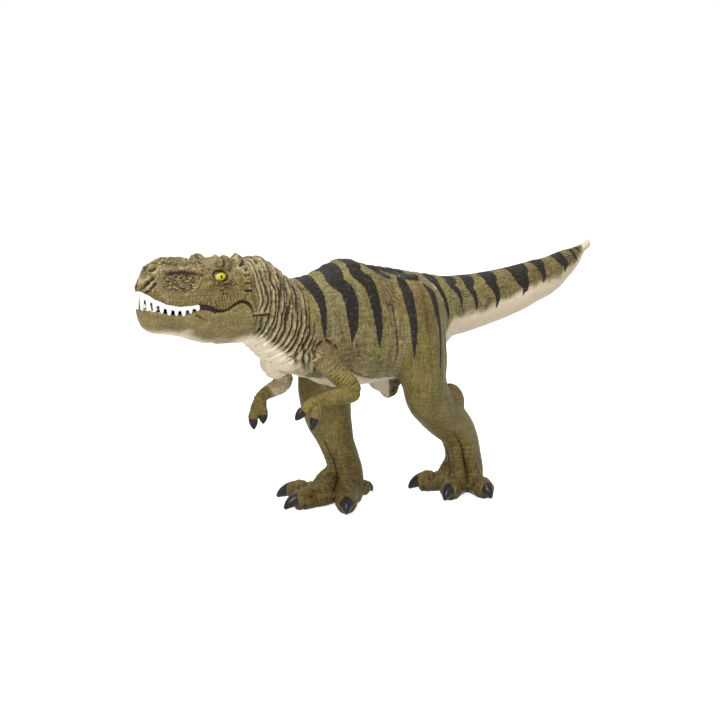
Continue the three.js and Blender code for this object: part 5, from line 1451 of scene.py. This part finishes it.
def toothRow(name):
    values = toothValues[name]
    path = toothPath(values)
    room = heightOn(lipLine, path[:, 0]) - heightOn(rimLine, path[:, 0])
    length = room + 0.25 if name == "upper" else -np.minimum(room - 1.6, 1.0 + smooth(-145, -149, path[:, 0]))
    row = newObject(f"{name}_teeth_row", path, [], edges=[(k, k + 1) for k in range(len(path) - 1)])
    setMask(row, "length", length * mm)
    setMask(row, "level", (path[:, 2] + shift[2]) * mm)
    nodes = row.modifiers.new("teeth", "NODES")
    nodes.node_group = toothTree
    sizes = {"Count": values["count"], "Width": values["width"] * mm, "Depth": values["depth"] * mm,
             "Gum Width": values["gumWidth"] * mm, "Gum Share": values["gumShare"], "Seed": values["seed"],
             "Material": materials["tooth"]}
    for socket in toothTree.interface.items_tree:
        if socket.in_out == "INPUT" and socket.name in sizes:
            nodes[socket.identifier] = sizes[socket.name]
    applyModifiers(row)
    outward(row)
    return row


tongueRows = [
    [-118, 0, 104.8, 1.4, 3.4], [-124, 0, 105.6, 1.5, 4.4], [-130, 0, 106.6, 1.5, 4.5], [-137, 0, 108, 1.4, 4.2],
    [-142, 0, 108.6, 1.2, 3.3],
]
eyeRadii = [4.3, 3.2, 2.9]


def makeTongue():
    thing = limbSkin("tongue_skin", tongueRows, 40, 10, (0.8, 1.4), materials["tongue"])
    points, normals = pointsOf(thing), normalsOf(thing)
    middle = -0.5 * bell(points[:, 1], 0.9) * smooth(0, 0.6, normals[:, 2])
    bumps = 0.12 * layeredNoise(points, 1.6, 71)
    setPoints(thing, points + normals * (middle + bumps)[:, None])
    shadeSmooth(thing)
    return thing


def makeEye(name):
    thing = ballSkin(f"{name}_eyeball", np.array([0, 0, 0]), np.array(eyeRadii), 48)
    points = pointsOf(thing)
    across, up = points[:, 0], points[:, 2]
    setMask(thing, "ring", np.hypot(across / 3.7, up / 2.4))
    setMask(thing, "slit", smooth(1.15, 0.85, np.hypot((across + 0.05) / 0.6, (up - 0.15) / 0.95)))
    setPoints(thing, points + eyePlace * ([1, 1, 1] if name == "left" else [1, -1, 1]))
    thing.data.materials.append(materials["eye"])
    shadeSmooth(thing)
    return thing


upperRow, lowerRow = toothRow("upper"), toothRow("lower")
tongue, lining = makeTongue(), makeLining()
eyes = {name: makeEye(name) for name in ("left", "right")}
for slot in bpy.data.objects["jaw_hinge_pin"].material_slots:
    slot.material = materials["steel"]
print("teeth, tongue, eyes and claws made")

pieces = [(parts[name], "figure", "skin", [name]) for name in ("head", "trunk", "tail")]
pieces += [
    (jaw, "jaw", "jaw_skin", ["lower_jaw"]), (upperRow, "figure", "tooth", ["upper_teeth"]),
    (lowerRow, "jaw", "tooth", ["lower_teeth"]), (tongue, "jaw", "tongue", ["tongue"]),
    (lining, "figure", "skin", []),
]
pieces += [(eye, "figure", "eye", [f"{name}_eye"]) for name, eye in eyes.items()]
pieces += [(limb, "figure", "skin", [name]) for name, limb in limbs.items()]
pieces += [(claw, "figure", "skin", []) for claw in clawSets.values()]
for piece, body, slotName, nodes in pieces:
    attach(piece, body)
    if nodes:
        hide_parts(*nodes)


# Floor, light and camera
stageValues = {
    "floorReach": 4.0, "floorGlow": 0.82, "floorTone": (0.6, 0.6, 0.6, 1), "world": 0.36, "aim": (0, 0, 0.08),
}
cameraValues = {"lens": 95, "sensor": 36, "distance": 1.0, "target": (-20, 0, 77), "azimuth": -38, "elevation": 10}
lampValues = {  # place, size and power
    "key": ((-0.9, -0.75, 1.2), 0.7, 24), "fill": ((-0.7, -1.2, 0.25), 1.2, 4), "top": ((0.1, 0.4, 1.5), 1.0, 12),
}
white = (1, 1, 1, 1)


def seenWhite(tree):
    path = addNode(tree, "ShaderNodeLightPath").outputs
    return most(path["Is Camera Ray"], most(path["Is Glossy Ray"], path["Is Transmission Ray"]))


def makeFloor():
    reach = stageValues["floorReach"]
    mesh = bpy.data.meshes.new("floor")
    mesh.from_pydata([(x * reach, y * reach, 0) for x, y in ((-1, -1), (1, -1), (1, 1), (-1, 1))], [], [(0, 1, 2, 3)])
    floor = addObject("floor", mesh)
    made, tree, shader = newMaterial("floorWhite", {
        "Roughness": 0.9, "Base Color": stageValues["floorTone"], "Specular IOR Level": 0, "Emission Color": white})
    setInputs(shader, {"Emission Strength": times(seenWhite(tree), stageValues["floorGlow"])})
    mesh.materials.append(made)


def makeWorld():
    world = bpy.data.worlds.new("studio")
    bpy.context.scene.world = world
    world.use_nodes = True
    level = stageValues["world"]
    strength = mathNode("MULTIPLY_ADD", seenWhite(world.node_tree), 1 - level, level)
    setInputs(world.node_tree.nodes["Background"], {"Color": white, "Strength": strength})


def makeLamp(name, place, size, energy):
    lamp = bpy.data.lights.new(name, "AREA")
    lamp.shape, lamp.size, lamp.energy = "DISK", size, energy
    thing = addObject(name, lamp)
    thing.location = place
    thing.rotation_euler = (Vector(stageValues["aim"]) - Vector(place)).to_track_quat("-Z", "Y").to_euler()


def makeCamera():
    v = cameraValues
    target = Vector(((np.array(v["target"]) + shift) * mm).tolist())
    turn, rise = math.radians(v["azimuth"]), math.radians(v["elevation"])
    back = Vector((math.sin(turn) * math.cos(rise), -math.cos(turn) * math.cos(rise), math.sin(rise)))
    lens = bpy.data.cameras.new("camera")
    lens.lens, lens.sensor_width = v["lens"], v["sensor"]
    camera = addObject("camera", lens)
    camera.location = target + back * v["distance"]
    camera.rotation_euler = (-back).to_track_quat("-Z", "Y").to_euler()
    bpy.context.scene.camera = camera


makeFloor()
makeWorld()
for name, values in lampValues.items():
    makeLamp(name, *values)
makeCamera()
bpy.context.scene.view_settings.view_transform = "Standard"
